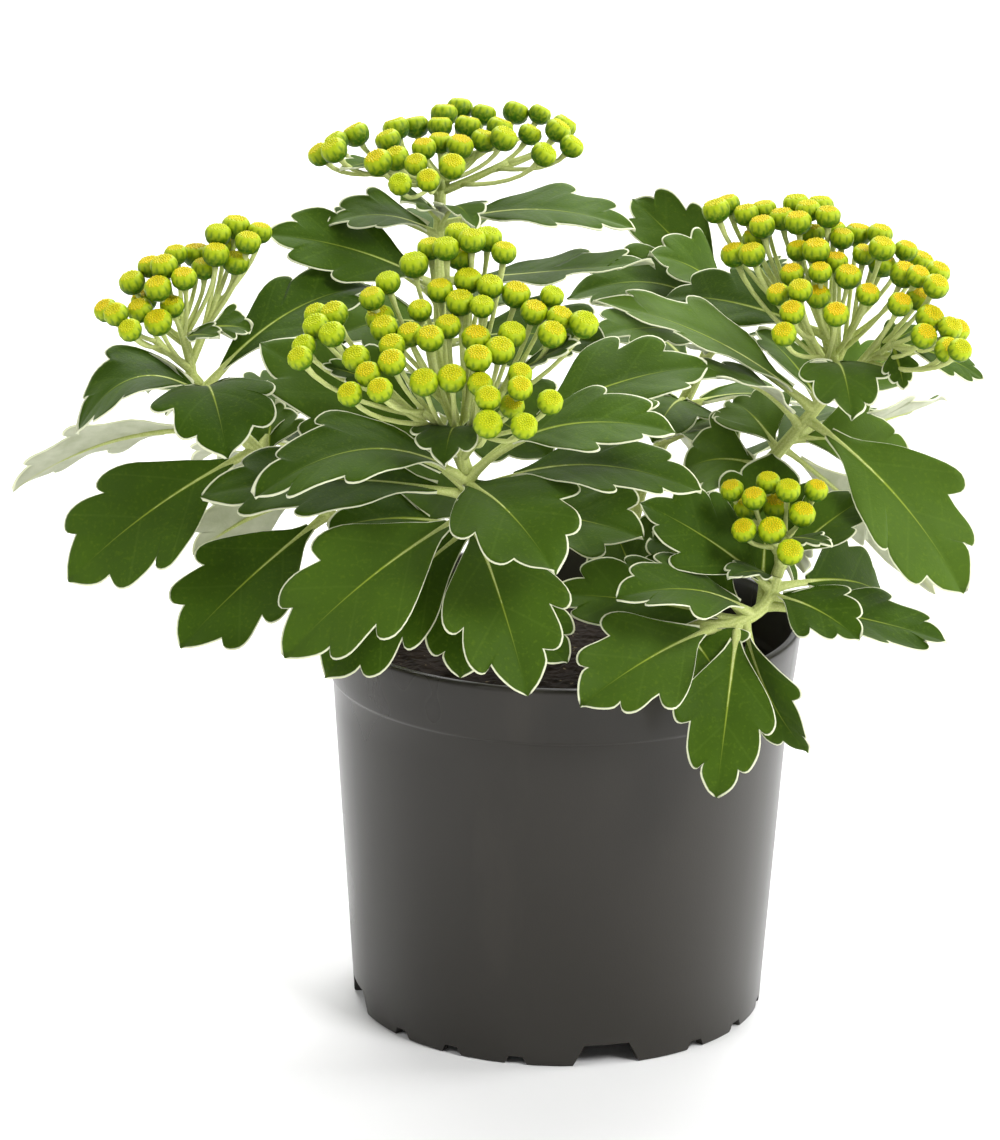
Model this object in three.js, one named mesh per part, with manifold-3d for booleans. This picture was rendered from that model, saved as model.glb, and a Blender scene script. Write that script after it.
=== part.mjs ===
// Potted gold and silver chrysanthemum (Ajania pacifica) in a dark nursery pot.
// Millimetres, +Z up. The plant is laid out about the pot's axis, seen from the front (-Y).
import * as THREE from "three";
import Module from "manifold-3d";

const wasm = await Module();
wasm.setup();

// Pot
const RIM_RADIUS = 60;
const RIM_TOP = 100.5;
const COLLAR_RADIUS = 58.5;
const COLLAR_FOOT = 86.6;
const BODY_TOP_RADIUS = 58.0;
const BASE_RADIUS = 52;
const WALL = 1.3;
const LIP = 2.0;
const FOOT_WIDTH = 2.4;
const FLOOR_UNDERSIDE = 6;
const FLOOR_TOP = 7.6;
const POT_SIDES = 32;
const NOTCH_COUNT = 4;
const NOTCH_HEIGHT = 5.6;
const NOTCH_TURN = 14;
const SHALLOW_HEIGHT = 2.2;
const SHALLOW_TURNS = [28, 46, 65];
const DRAIN_RADIUS = 5;
const DRAIN_RING = 36;
const DRAIN_COUNT = 6;

// Potting mix
const MIX_TOP = 88;
const MIX_GAP = 0.35;
const MIX_LUMP = 1.6;
const ROOT_DEPTH = 24;
const HOLE_GAP = 0.35;

// Plant
const STEM_RADIUS = 2.0;
const STEM_TIP_RADIUS = 1.5;
const RAY_RADIUS = 1.2;
const RAY_TIP_RADIUS = 1.0;
const STALK_RADIUS = 0.45;
const BUD_RADIUS = 3.0;
const BUD_SPACING = 6.2;
const BLADE = 0.7;
const PETIOLE_HALF_WIDTH = 0.9;
const PETIOLE_THICKNESS = 1.5;
const PETIOLE_SHARE = 0.12;
const LEAF_FOLD = 0.12;
const HEAD_GAP = 0.35;
const HUB_LENGTH = 3;
const BUDS_PER_RAY = 7;
const RAY_SHARE = 0.4;
const AXIS_SHARE = 0.2;
const FORK_SHARE = 0.9;
const GOLDEN = 0.618034;

// Moves the plant and pot so that the whole object's box is centred on the origin.
const SHIFT = new THREE.Vector3(17.9, -1.8, 0);

// The viewer's eye in front of the pot. Places named [across, up, depth] below are read
// square to this sight line: mm right and up of its middle, then mm behind the pot's axis.
const EYE = new THREE.Vector3(0, -1150, 465);
const EYE_PITCH = 17.06;
const EYE_YAW = -0.79;
const EYE_ROLL = 0.67;
const SIGHT_LENGTH = 1201;

const DEG = Math.PI / 180;
const UP = new THREE.Vector3(0, 0, 1);

function eyeAxes() {
  const [yaw, pitch, roll] = [EYE_YAW * DEG, EYE_PITCH * DEG, EYE_ROLL * DEG];
  const ahead = new THREE.Vector3(
    Math.sin(yaw) * Math.cos(pitch), Math.cos(yaw) * Math.cos(pitch), -Math.sin(pitch));
  const level = new THREE.Vector3(Math.cos(yaw), -Math.sin(yaw), 0);
  const above = level.clone().cross(ahead);
  const right = level.clone().multiplyScalar(Math.cos(roll)).addScaledVector(above, Math.sin(roll));
  const up = level.clone().multiplyScalar(-Math.sin(roll)).addScaledVector(above, Math.cos(roll));
  return { ahead, right, up };
}

const SIGHT = eyeAxes();

function seen([across, up, depth]) {
  const ray = SIGHT.ahead.clone().multiplyScalar(SIGHT_LENGTH);
  ray.addScaledVector(SIGHT.right, across).addScaledVector(SIGHT.up, up);
  return EYE.clone().addScaledVector(ray, (depth - EYE.y) / ray.y);
}

// The same run of numbers each time, from 0 to 1.
function dice(seed) {
  let state = seed;
  return () => {
    state = (state * 16807) % 2147483647;
    return state / 2147483647;
  };
}

function solid(points, faces) {
  const vertProperties = new Float32Array(points.flatMap((p) => [p.x, p.y, p.z]));
  const triVerts = new Uint32Array(faces.flat());
  return new wasm.Manifold(new wasm.Mesh({ numProp: 3, vertProperties, triVerts }));
}

function fused(solids) {
  return wasm.Manifold.union(solids);
}

function named(name, body, material) {
  const mesh = body.getMesh();
  const geometry = new THREE.BufferGeometry();
  geometry.setAttribute("position", new THREE.BufferAttribute(new Float32Array(mesh.vertProperties), 3));
  geometry.setIndex([...mesh.triVerts]);
  geometry.translate(SHIFT.x, SHIFT.y, SHIFT.z);
  const part = new THREE.Mesh(geometry, material);
  part.name = name;
  return part;
}

// A point on the smooth line through the given points, t from 0 to 1.
function along(points, t) {
  const spans = points.length - 1;
  const span = Math.min(Math.floor(t * spans), spans - 1);
  const f = t * spans - span;
  const a = points[Math.max(span - 1, 0)];
  const b = points[span];
  const c = points[span + 1];
  const d = points[Math.min(span + 2, spans)];
  const weight = [
    -0.5 * f + f * f - 0.5 * f ** 3,
    1 - 2.5 * f * f + 1.5 * f ** 3,
    0.5 * f + 2 * f * f - 1.5 * f ** 3,
    -0.5 * f * f + 0.5 * f ** 3,
  ];
  const out = new THREE.Vector3();
  [a, b, c, d].forEach((p, i) => out.addScaledVector(p, weight[i]));
  return out;
}

// A closed round bar through the points, with a radius at each.
function bar(points, radii, sides) {
  const rings = [];
  let side = null;
  points.forEach((p, i) => {
    const before = points[Math.max(i - 1, 0)];
    const after = points[Math.min(i + 1, points.length - 1)];
    const ahead = after.clone().sub(before).normalize();
    side ??= Math.abs(ahead.z) < 0.9 ? UP.clone() : new THREE.Vector3(1, 0, 0);
    side = side.clone().addScaledVector(ahead, -side.dot(ahead)).normalize();
    const other = ahead.clone().cross(side);
    for (let k = 0; k < sides; k++) {
      const angle = (2 * Math.PI * k) / sides;
      rings.push(p.clone()
        .addScaledVector(side, radii[i] * Math.cos(angle))
        .addScaledVector(other, radii[i] * Math.sin(angle)));
    }
  });
  const faces = [];
  const last = (points.length - 1) * sides;
  for (let i = 0; i < last; i += sides) {
    for (let k = 0; k < sides; k++) {
      const n = (k + 1) % sides;
      faces.push([i + k, i + n, i + sides + n], [i + k, i + sides + n, i + sides + k]);
    }
  }
  for (let k = 1; k < sides - 1; k++) {
    faces.push([0, k + 1, k], [last, last + k, last + k + 1]);
  }
  return solid(rings, faces);
}

// A closed profile of [radius, height] pairs, anticlockwise, turned about the Z axis.
// A radius of 0 at the first and last pair closes on the axis.
function turned(profile, sides) {
  const points = [];
  const at = profile.map(([radius, height]) => {
    const first = points.length;
    if (radius === 0) {
      points.push(new THREE.Vector3(0, 0, height));
      return () => first;
    }
    for (let k = 0; k < sides; k++) {
      const angle = (2 * Math.PI * k) / sides;
      points.push(new THREE.Vector3(radius * Math.cos(angle), radius * Math.sin(angle), height));
    }
    return (k) => first + (k % sides);
  });
  const faces = [];
  for (let i = 0; i < profile.length - 1; i++) {
    for (let k = 0; k < sides; k++) {
      if (profile[i][0] > 0) faces.push([at[i](k), at[i](k + 1), at[i + 1](k)]);
      if (profile[i + 1][0] > 0) faces.push([at[i](k + 1), at[i + 1](k + 1), at[i + 1](k)]);
    }
  }
  return solid(points, faces);
}

// A block narrowing from bottom to top, across the pot's foot ring at an angle from the front.
function footNotch(angle, lowWidth, highWidth, height) {
  const [inner, outer, low] = [BASE_RADIUS - 6, BASE_RADIUS + 4, -1];
  const points = [];
  for (const [width, z] of [[lowWidth, low], [highWidth, height]]) {
    for (const [radius, side] of [[inner, -1], [outer, -1], [outer, 1], [inner, 1]]) {
      const turn = (angle + side * width * 0.5) * DEG;
      points.push(new THREE.Vector3(radius * Math.sin(turn), -radius * Math.cos(turn), z));
    }
  }
  const faces = [[0, 2, 1], [0, 3, 2], [4, 5, 6], [4, 6, 7]];
  for (let k = 0; k < 4; k++) {
    const n = (k + 1) % 4;
    faces.push([k, n, 4 + n], [k, 4 + n, 4 + k]);
  }
  return solid(points, faces);
}

function pot() {
  const inside = (z) => BASE_RADIUS - WALL + ((BODY_TOP_RADIUS - BASE_RADIUS) * z) / COLLAR_FOOT;
  const profile = [
    [0, FLOOR_UNDERSIDE],
    [BASE_RADIUS - FOOT_WIDTH, FLOOR_UNDERSIDE],
    [BASE_RADIUS - FOOT_WIDTH, 0],
    [BASE_RADIUS, 0],
    [BODY_TOP_RADIUS - 0.3, COLLAR_FOOT - 1.2],
    [COLLAR_RADIUS, COLLAR_FOOT],
    [RIM_RADIUS, RIM_TOP - 1.2],
    [RIM_RADIUS - 0.6, RIM_TOP],
    [RIM_RADIUS - LIP, RIM_TOP],
    [RIM_RADIUS - LIP - 0.8, RIM_TOP - 2],
    [COLLAR_RADIUS - WALL - 0.7, COLLAR_FOOT],
    [inside(COLLAR_FOOT) - 1, COLLAR_FOOT - 1.5],
    [inside(FLOOR_TOP), FLOOR_TOP],
    [0, FLOOR_TOP],
  ];
  const body = turned(profile, POT_SIDES);
  const cuts = [];
  for (let k = 0; k < NOTCH_COUNT; k++) {
    const angle = NOTCH_TURN + (360 / NOTCH_COUNT) * k;
    cuts.push(footNotch(angle, 20, 12.5, NOTCH_HEIGHT));
    for (const turn of SHALLOW_TURNS) cuts.push(footNotch(angle + turn, 7.5, 3.8, SHALLOW_HEIGHT));
  }
  for (let k = 0; k < DRAIN_COUNT; k++) {
    const angle = (2 * Math.PI * k) / DRAIN_COUNT;
    const [x, y] = [DRAIN_RING * Math.cos(angle), DRAIN_RING * Math.sin(angle)];
    const ends = [FLOOR_UNDERSIDE - 1, FLOOR_TOP + 1].map((z) => new THREE.Vector3(x, y, z));
    cuts.push(bar(ends, [DRAIN_RADIUS, DRAIN_RADIUS], 6));
  }
  return body.subtract(fused(cuts));
}

// Lumpy mix with one plain hole for each stem.
function pottingMix(stems) {
  const roll = dice(7);
  const inside = (z) =>
    BASE_RADIUS - WALL + ((BODY_TOP_RADIUS - BASE_RADIUS) * z) / COLLAR_FOOT - 1 - MIX_GAP;
  const rings = [18, 33, 46];
  const sides = 18;
  const points = [new THREE.Vector3(0, 0, FLOOR_TOP + MIX_GAP)];
  const ring = (radius, height, lump) => {
    for (let k = 0; k < sides; k++) {
      const angle = (2 * Math.PI * k) / sides;
      const [x, y] = [radius * Math.cos(angle), radius * Math.sin(angle)];
      points.push(new THREE.Vector3(x, y, height + lump * (roll() - 0.5) * 2));
    }
  };
  ring(inside(FLOOR_TOP), FLOOR_TOP + MIX_GAP, 0);
  ring(inside(MIX_TOP - 5), MIX_TOP - 4.5, 0);
  rings.slice().reverse().forEach((radius, i) => ring(radius, MIX_TOP - (i === 0 ? 1.5 : 0), MIX_LUMP));
  points.push(new THREE.Vector3(0, 0, MIX_TOP + 1));
  const faces = [];
  const bands = rings.length + 1;
  for (let k = 0; k < sides; k++) {
    const n = (k + 1) % sides;
    faces.push([0, 1 + n, 1 + k]);
    for (let b = 0; b < bands; b++) {
      const [low, high] = [1 + b * sides, 1 + (b + 1) * sides];
      faces.push([low + k, low + n, high + n], [low + k, high + n, high + k]);
    }
    const top = 1 + bands * sides;
    faces.push([top + k, top + n, points.length - 1]);
  }
  const holes = stems.map(({ foot }) => {
    const radius = STEM_RADIUS + HOLE_GAP;
    const low = new THREE.Vector3(foot[0], foot[1], MIX_TOP - ROOT_DEPTH - 1);
    const high = new THREE.Vector3(foot[0], foot[1], MIX_TOP + 8);
    return bar([low, high], [radius * 1.25, radius * 1.25], 6);
  });
  return solid(points, faces).subtract(fused(holes));
}

// Leaf edge from petiole to tip: [distance along the blade, share of the half width].
// Two blunt lobes a side point forward, each ended by a sharp notch.
const LARGE_EDGE = [
  [0.4, 0.86], [0.58, 1], [0.59, 0.72], [0.76, 0.8], [0.84, 0.62], [0.84, 0.42], [0.95, 0.22],
];
const SMALL_EDGE = [[0.38, 0.76], [0.57, 1], [0.6, 0.72], [0.84, 0.62], [0.85, 0.34]];
const LARGE_RIB = [0.3, 0.6, 0.85];
const SMALL_RIB = [0.45, 0.82];
const LARGE_WIDTH = 28;

// The leaf's line and its two square directions. tilt turns the upper face from the eye
// (0) to the sky (90) and beyond; roll turns it about the leaf's own length.
function leafFrame({ root, tip, tilt, roll, arch, facing }) {
  const chord = tip.clone().sub(root).normalize();
  const face = facing ? facing.clone() : SIGHT.ahead.clone().multiplyScalar(-Math.cos(tilt * DEG))
    .addScaledVector(SIGHT.up, Math.sin(tilt * DEG));
  face.addScaledVector(chord, -face.dot(chord)).normalize().applyAxisAngle(chord, roll * DEG);
  const across = chord.clone().cross(face);
  const middle = root.clone().add(tip).multiplyScalar(0.5).addScaledVector(face, 2 * arch);
  const place = (t) => root.clone().multiplyScalar((1 - t) ** 2)
    .addScaledVector(middle, 2 * t * (1 - t)).addScaledVector(tip, t * t);
  const normal = (t) => {
    const tangent = middle.clone().sub(root).multiplyScalar(1 - t)
      .addScaledVector(tip.clone().sub(middle), t).normalize();
    return across.clone().cross(tangent).normalize();
  };
  return { place, normal, across };
}

function leaf(spec) {
  const { place, normal, across } = leafFrame(spec);
  const large = spec.width >= LARGE_WIDTH;
  const edge = large ? LARGE_EDGE : SMALL_EDGE;
  const share = spec.stalk ?? PETIOLE_SHARE;
  const t = (s) => share + s * (1 - share);
  const points = [];
  const add = (time, sideways, rise, thickness) => {
    const up = normal(time);
    const at = place(time).addScaledVector(across, sideways).addScaledVector(up, rise);
    points.push(at.clone().addScaledVector(up, thickness / 2));
    points.push(at.clone().addScaledVector(up, -thickness / 2));
    return points.length / 2 - 1;
  };
  const rib = [];
  for (const s of large ? LARGE_RIB : SMALL_RIB) {
    rib.push({ s, v: add(t(s), 0, 0, BLADE + 0.5 * (1 - s)) });
  }
  rib.push({ s: 1, v: add(1, 0, 0, BLADE) });
  const rim = (side) => {
    const out = [{ s: -1, v: add(0, side * PETIOLE_HALF_WIDTH, 0, BLADE) }];
    for (const [s, w] of edge) {
      const sideways = Math.max((w * spec.width) / 2, PETIOLE_HALF_WIDTH);
      out.push({ s, v: add(t(s), side * sideways, spec.fold * sideways, BLADE) });
    }
    return out;
  };
  const [right, left] = [rim(1), rim(-1)];
  const faces = [];
  const both = (a, b, c) => faces.push([2 * a, 2 * b, 2 * c], [2 * a + 1, 2 * c + 1, 2 * b + 1]);
  const zip = (edgeRow, turn) => {
    let [i, j] = [0, 0];
    while (i < rib.length - 1 || j < edgeRow.length - 1) {
      const nextEdge = j < edgeRow.length - 1 ? edgeRow[j + 1].s : Infinity;
      const nextRib = i < rib.length - 1 ? rib[i + 1].s : Infinity;
      const edgeFirst = nextEdge <= nextRib;
      const far = edgeFirst ? edgeRow[j + 1].v : rib[i + 1].v;
      if (turn) both(rib[i].v, far, edgeRow[j].v);
      else both(rib[i].v, edgeRow[j].v, far);
      if (edgeFirst) j += 1;
      else i += 1;
    }
  };
  both(rib[0].v, left[0].v, right[0].v);
  zip(right, false);
  zip(left, true);
  const loop = [...right, rib[rib.length - 1], ...left.slice().reverse()].map((p) => p.v);
  loop.forEach((a, i) => {
    const b = loop[(i + 1) % loop.length];
    faces.push([2 * a, 2 * a + 1, 2 * b + 1], [2 * a, 2 * b + 1, 2 * b]);
  });
  const [keel, spare] = [2 * right[0].v + 1, 2 * left[0].v + 1];
  points[keel].copy(place(0)).addScaledVector(normal(0), -PETIOLE_THICKNESS / 2);
  const closed = faces.map((face) => face.map((v) => (v === spare ? keel : v)))
    .filter(([a, b, c]) => a !== b && b !== c && c !== a);
  return solid(points, closed);
}

// A stalk and its button of florets as one body, from the stalk's foot to the top of the bud.
function bud(foot, centre, top, radius) {
  const ahead = centre.clone().sub(foot).normalize();
  const axis = top.clone().normalize();
  const side = Math.abs(axis.z) < 0.9 ? UP.clone() : new THREE.Vector3(1, 0, 0);
  side.addScaledVector(axis, -side.dot(axis)).normalize();
  const ring = (middle, direction, size, sides) => {
    const first = side.clone().addScaledVector(direction, -side.dot(direction)).normalize();
    const second = direction.clone().cross(first);
    return Array.from({ length: sides }, (_, k) => {
      const angle = (2 * Math.PI * k) / sides;
      return middle.clone().addScaledVector(first, size * Math.cos(angle))
        .addScaledVector(second, size * Math.sin(angle));
    });
  };
  const neck = centre.clone().addScaledVector(axis, -radius * 0.95);
  const sides = 5;
  const points = [
    ...ring(foot, ahead, STALK_RADIUS, 3),
    ...ring(neck, axis, STALK_RADIUS * 1.1, 3),
    ...ring(centre.clone().addScaledVector(axis, -radius * 0.4), axis, radius, sides),
    ...ring(centre.clone().addScaledVector(axis, radius * 0.35), axis, radius * 0.98, sides),
    centre.clone().addScaledVector(axis, radius * 0.8),
  ];
  const faces = [[0, 2, 1]];
  for (let k = 0; k < 3; k++) {
    const n = (k + 1) % 3;
    faces.push([k, n, 3 + n], [k, 3 + n, 3 + k]);
  }
  const [low, high] = [6, 6 + sides];
  faces.push([3, low + 1, low], [3, 4, low + 1], [4, low + 2, low + 1], [4, low + 3, low + 2]);
  faces.push([4, 5, low + 3], [5, low + 4, low + 3], [5, 3, low + 4], [3, low, low + 4]);
  for (let k = 0; k < sides; k++) {
    const n = (k + 1) % sides;
    faces.push([low + k, low + n, high + n], [low + k, high + n, high + k]);
    faces.push([high + k, high + n, high + sides]);
  }
  return solid(points, faces);
}

// Stems. foot is [x, y] in the mix; path is the rest of the stem, read along the sight line,
// to the top of its leafy part. Leaves: [place on the stem, across, up and depth of the tip,
// width, tilt, roll, arch, petiole share]. Leaves round the back are placed by rule, about
// the direction given (0 is right, 90 the back).
const STEMS = [
  {
    name: "front_leafy_stem",
    foot: [-8, -16],
    path: [[-5, -12, -30], [-6, 7, -40], [-8.5, 24, -43]],
    leaves: [
      [0.8, -54, -22, -66, 31, 30, 0, 6],
      [0.73, 7, -31.5, -72, 30, 30, 0, 5, 0.02],
      [0.93, 14, -1, -76, 32, 40, 0, 5, 0.02],
      [0.95, -61.5, 18, -60, 27, 50, 0, 12],
      [0.87, -75, 18.5, -44, 31, 50, 0, 5],
      [0.74, -44, -27, -56, 30, 35, 0, 5, 0.02],
      [0.6, -10, -27, -60, 27, 30, 0, 4, 0.02],
      [0.9, -60, 57, -26, 29, 25, 0, 4],
      [0.96, 52, 51, -34, 28, 45, 0, 9, 0.34],
      [0.95, 44, 34.5, -58, 26, 45, 0, 10, 0.3],
      [0.88, 50.5, 19.5, -52, 28, 55, 0, 8, 0.2],
      [0.4, 17, -23, -54, 27, 30, 0, 4],
      [0.72, -43, 10, -38, 24, 45, 0, 4, 0.3],
    ],
    behind: { count: 0 },
  },
  {
    name: "back_leafy_stem",
    foot: [-4, 10],
    path: [[-12, 34, 8], [-15, 66, 13], [-15, 90, 15]],
    leaves: [
      [0.72, -58.5, 84, 2, 27, 38, 0, 4],
      [0.88, -43, 86.5, 8, 20, 62, 0, 4],
      [0.94, -25, 92, 0, 14, 45, 0, 2],
      [0.9, -6, 85, -8, 14, 70, 0, 6],
      [0.92, 34, 85, 8, 23, 62, 0, 5],
      [0.74, 38.5, 77, -8, 21, 62, 0, 0],
      [0.55, 27, 56, -8, 28, 45, 0, 4],
      [0.6, -42, 58, -2, 28, 45, 0, 4],
      [0.45, -24, 36, -26, 30, 40, 0, 4],
      [0.4, 13, 28, -24, 32, 35, 0, 4],
      [0.2, -30, 20, -16, 30, 40, 0, 4],
      [0.2, 36, 8, -16, 30, 40, 0, 4],
    ],
    behind: { count: 5, from: 0.4, to: 0.8, turn: 92, spread: 70, length: 40, seed: 11 },
  },
  {
    name: "left_leafy_stem",
    foot: [-26, -4],
    path: [[-32, 4, -14], [-52, 22, -20], [-66, 35, -22], [-75, 46, -22]],
    leaves: [
      [0.88, -106, 34, -30, 26, 58, 0, 12],
      [0.95, -68, 28, -58, 31, 45, 0, 8],
      [0.93, -88, 45, -8, 14, 60, 0, 2],
      [0.75, -122, 20, -8, 25, 98, 0, 6],
      [0.65, -108, -3, -36, 31, 27, 0, 6],
      [0.38, -80, -19.5, -42, 28, 32, 0, 3],
      [0.45, -77, 4, -14, 20, 140, 0, 3],
      [0.96, -32, 71, 2, 23, 45, 0, 8],
      [0.6, -56.5, 41, -8, 18, 40, 0, 2],
    ],
    behind: { count: 3, from: 0.3, to: 0.7, turn: 105, spread: 50, length: 42, seed: 23 },
  },
  {
    name: "right_leafy_stem",
    foot: [24, -4],
    path: [[50, 10, -12], [68, 28, -12], [81, 43, -12]],
    leaves: [
      [0.86, 116, -6, -34, 30, 35, 0, 8],
      [0.8, 111, 43.5, 24, 22, 112, 0, -2],
      [0.76, 102, 29, -2, 24, 25, 0, 3],
      [0.82, 47.5, 48, -30, 21, 62, 0, 5],
      [0.91, 23, 67.5, -14, 25, 60, 0, 5],
      [0.62, 46, 25, -8, 26, 35, 0, 4],
      [0.72, 109, -6, 2, 14, 150, 0, 6],
      [0.9, 103, 55, 10, 18, 40, 0, 3],
      [0.95, 64, 60, 2, 15, 75, 0, 2],
      [0.7, 58, 42, 4, 22, 40, 0, 3],
    ],
    behind: { count: 3, from: 0.3, to: 0.7, turn: 75, spread: 40, length: 42, seed: 31 },
  },
  {
    name: "low_right_leafy_stem",
    foot: [34, -22],
    path: [[46, -15, -42], [57, -14, -44], [66, -9, -40], [69, -2, -37]],
    leaves: [
      [0.66, 29, -7, -62, 26, 50, 0, 5],
      [0.84, 90, -17.5, -54, 21, 45, 0, 3],
      [0.76, 112, -18, -38, 22, 50, 0, 2],
      [0.44, 20, -34, -70, 28, 30, 0, 4],
      [0.25, 56, -29, -52, 22, 20, 0, 3],
      [0.56, 54, -57, -68, 26, 20, 0, 6],
      [0.6, 77, -46, -54, 20, 30, 55, 4],
      [0.88, 35, 17, -36, 26, 35, 0, 3],
      [0.97, 57, -2, -50, 12, 60, 0, 2],
      [0.9, 97, -8, -8, 32, 30, 0, 6, 0.2],
      [0.58, 13, -6, -36, 26, 30, 0, 3],
      [0.72, 68, 29, -20, 34, 15, 0, -5, 0.2],
      [0.62, 38, 8, -20, 26, 25, 0, 3],
    ],
    behind: { count: 0 },
  },
  {
    name: "back_left_leafy_stem",
    foot: [-22, 24],
    path: [[-38, 14, 40], [-44, 38, 48], [-46, 52, 50]],
    leaves: [
      [0.95, -47.5, 76, 28, 26, 35, 0, 3],
      [0.9, -35, 77, 46, 22, 40, 0, 3],
    ],
    behind: { count: 6, from: 0.35, to: 1, turn: 125, spread: 75, length: 42, seed: 41 },
  },
  {
    name: "back_right_leafy_stem",
    foot: [20, 22],
    path: [[34, 16, 34], [48, 46, 38], [58, 67, 38]],
    leaves: [
      [1, 33, 93, 58, 20, 10, 0, 3],
      [0.97, 37, 79, 30, 25, 45, 0, 4],
      [0.9, 16.5, 68, 31, 26, 45, 0, 9],
      [0.95, 72, 74, 20, 22, 50, 0, 3],
      [0.75, 60, 54, 12, 20, 60, 0, 3],
      [0.8, 24, 58, 6, 26, 50, 0, 4],
      [0.5, 59, 33, 6, 22, 55, 0, 3],
      [0.62, 38, 32, 16, 24, 45, 0, 4],
      [0.12, 27, 13, 8, 28, 15, 0, 2],
    ],
    behind: { count: 5, from: 0.35, to: 0.85, turn: 60, spread: 75, length: 42, seed: 53 },
  },
];

// Flower heads: the stem they crown, the head's lean [right, back, up], the middle of the
// buds, how fast buds higher in the view lie further back, the buds [across, up] and the
// small leaves among the rays: [across, up and depth of the root, the same of the tip,
// width, tilt, arch].
const HEADS = [
  {
    name: "front_flower_head",
    stem: 0,
    lean: [0, -0.45, 0.9],
    middle: [-12, 60, -58],
    slope: 0.95,
    buds: [
      [-21.5, 76.5], [-17.5, 80.5], [-13.5, 80.5], [-10, 78.5], [-10.5, 84], [-7, 82.5], [-3, 83],
      [1, 79.5], [-28, 72], [-32, 68], [-15, 70], [-8, 72.5], [-10, 67], [-2.5, 71], [-4.5, 66],
      [4, 69], [13, 68.5], [8.5, 64.5], [15, 63], [21, 61.5], [13, 59], [-20, 65], [-29, 60.5],
      [-30, 63], [-22.5, 59], [-17.5, 58], [-13, 61], [-6, 58], [3, 59], [0, 55], [-5.5, 53],
      [-27, 56], [-27, 52], [-36, 53], [-33, 49], [-19, 47], [-12, 48], [-5, 46.5], [-37.5, 44],
      [-30, 45], [5, 49], [5, 45.5], [-3, 43], [3, 41], [12.5, 42], [-3, 36.5], [6, 36],
      [-41.5, 64], [-46, 64], [-46, 61], [-42, 59], [-49, 56], [-50, 53],
    ],
    leaves: [
      [-9, 33, -48, -14, 26, -70, 20, 85, 5],
      [-32, 50, -62, -45, 51, -60, 8, 40, 1],
      [8, 48, -60, 20, 57, -62, 9, 50, 1],
    ],
  },
  {
    name: "back_flower_head",
    stem: 1,
    lean: [0, 0, 1],
    middle: [-12, 108, 15],
    slope: 2.3,
    buds: [
      [-10, 115.5], [-14, 114], [-4, 114], [4, 114.5], [10, 114], [16, 111], [-36, 109], [-41, 107],
      [-45, 104], [-41.5, 105], [-26, 110.5], [-28, 107.5], [-21, 111], [-15, 111], [-8, 111],
      [0, 110.5], [7.5, 109], [14.5, 110], [18, 106], [-19, 105.5], [-15, 107], [-10, 106],
      [-4, 107.5], [1, 108], [-30.5, 102], [-26, 103], [-21, 101.5], [-12, 101], [11, 104],
      [-25, 96.5], [-18, 97.5],
    ],
    leaves: [[-30, 98, 5, -40, 100, 2, 8, 60, 1]],
  },
  {
    name: "left_flower_head",
    stem: 2,
    lean: [-0.15, -0.3, 0.9],
    middle: [-79, 74, -25],
    slope: 0.9,
    buds: [
      [-66, 86], [-70.5, 84], [-60, 84.5], [-63, 82], [-69, 81], [-71, 79], [-66, 77], [-81, 79],
      [-76, 79], [-74, 75.5], [-87.5, 76], [-84, 76], [-92, 72], [-85.5, 70.5], [-79, 73],
      [-89, 67.5], [-90, 65], [-82, 66], [-98.5, 65], [-96, 64], [-85.5, 62], [-92.5, 60],
    ],
    leaves: [
      [-80, 57, -26, -70, 58, -34, 9, 50, 1],
      [-74, 60, -24, -62, 60, -20, 13, 50, 1],
    ],
  },
  {
    name: "right_flower_head",
    stem: 3,
    lean: [0.05, -0.35, 0.93],
    middle: [84, 77, -16],
    slope: 1.2,
    buds: [
      [57, 91.5], [54, 90], [61.5, 89], [66, 90], [70.5, 88], [74, 91.5], [77, 90], [80, 91],
      [82, 88.5], [74.5, 87], [65.5, 86], [64, 83], [63, 79], [58.5, 79], [78, 84], [83.5, 85],
      [85.5, 83], [89.5, 84], [95, 84], [74.5, 80], [79, 80], [91, 79], [95.5, 80.5], [95.5, 76.5],
      [101.5, 80], [84, 77], [80, 74.5], [73, 74], [87, 73.5], [101, 74], [104.5, 73.5], [105, 77],
      [109.5, 74.5], [109, 71], [69.5, 69], [75, 70], [79.5, 68.5], [92, 69], [100, 66.5],
      [104.5, 68], [73, 64.5], [84, 64], [107.5, 63], [71, 59], [106, 58.5], [112.5, 60.5],
      [114.5, 60], [112, 55], [115, 55],
    ],
    leaves: [
      [84, 51, -14, 88, 37.5, -40, 22, 60, 5],
      [96, 56, -16, 106, 61, -14, 12, 50, 1],
      [104, 52, -24, 121, 47.5, -22, 13, 45, 2],
      [102, 52, -24, 101, 45, -32, 9, 60, 1],
      [80, 58, -8, 40.5, 68, 20, 22, 30, 5],
    ],
  },
  {
    name: "low_right_flower_head",
    stem: 4,
    lean: [0.1, -0.45, 0.85],
    middle: [68, 15, -44],
    slope: 0.7,
    buds: [
      [58, 20], [67, 22], [72, 20], [79, 20], [63.5, 18], [62, 16], [69, 16], [75.5, 14],
      [61, 10], [68, 10], [72.5, 4.5],
    ],
    leaves: [
      [72, 4, -44, 83, 6, -54, 8, 60, 1],
      [70, -2, -38, 93, 19, -26, 20, 45, 2],
    ],
  },
];

const LEAF_GREEN = new THREE.MeshStandardMaterial({ color: 0x4c6b33, roughness: 0.75 });
const BUD_YELLOW = new THREE.MeshStandardMaterial({ color: 0xc6cf2b, roughness: 0.7 });
const POT_GREY = new THREE.MeshStandardMaterial({ color: 0x413f3a, roughness: 0.5 });
const MIX_BROWN = new THREE.MeshStandardMaterial({ color: 0x3a2c20, roughness: 0.95 });

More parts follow.
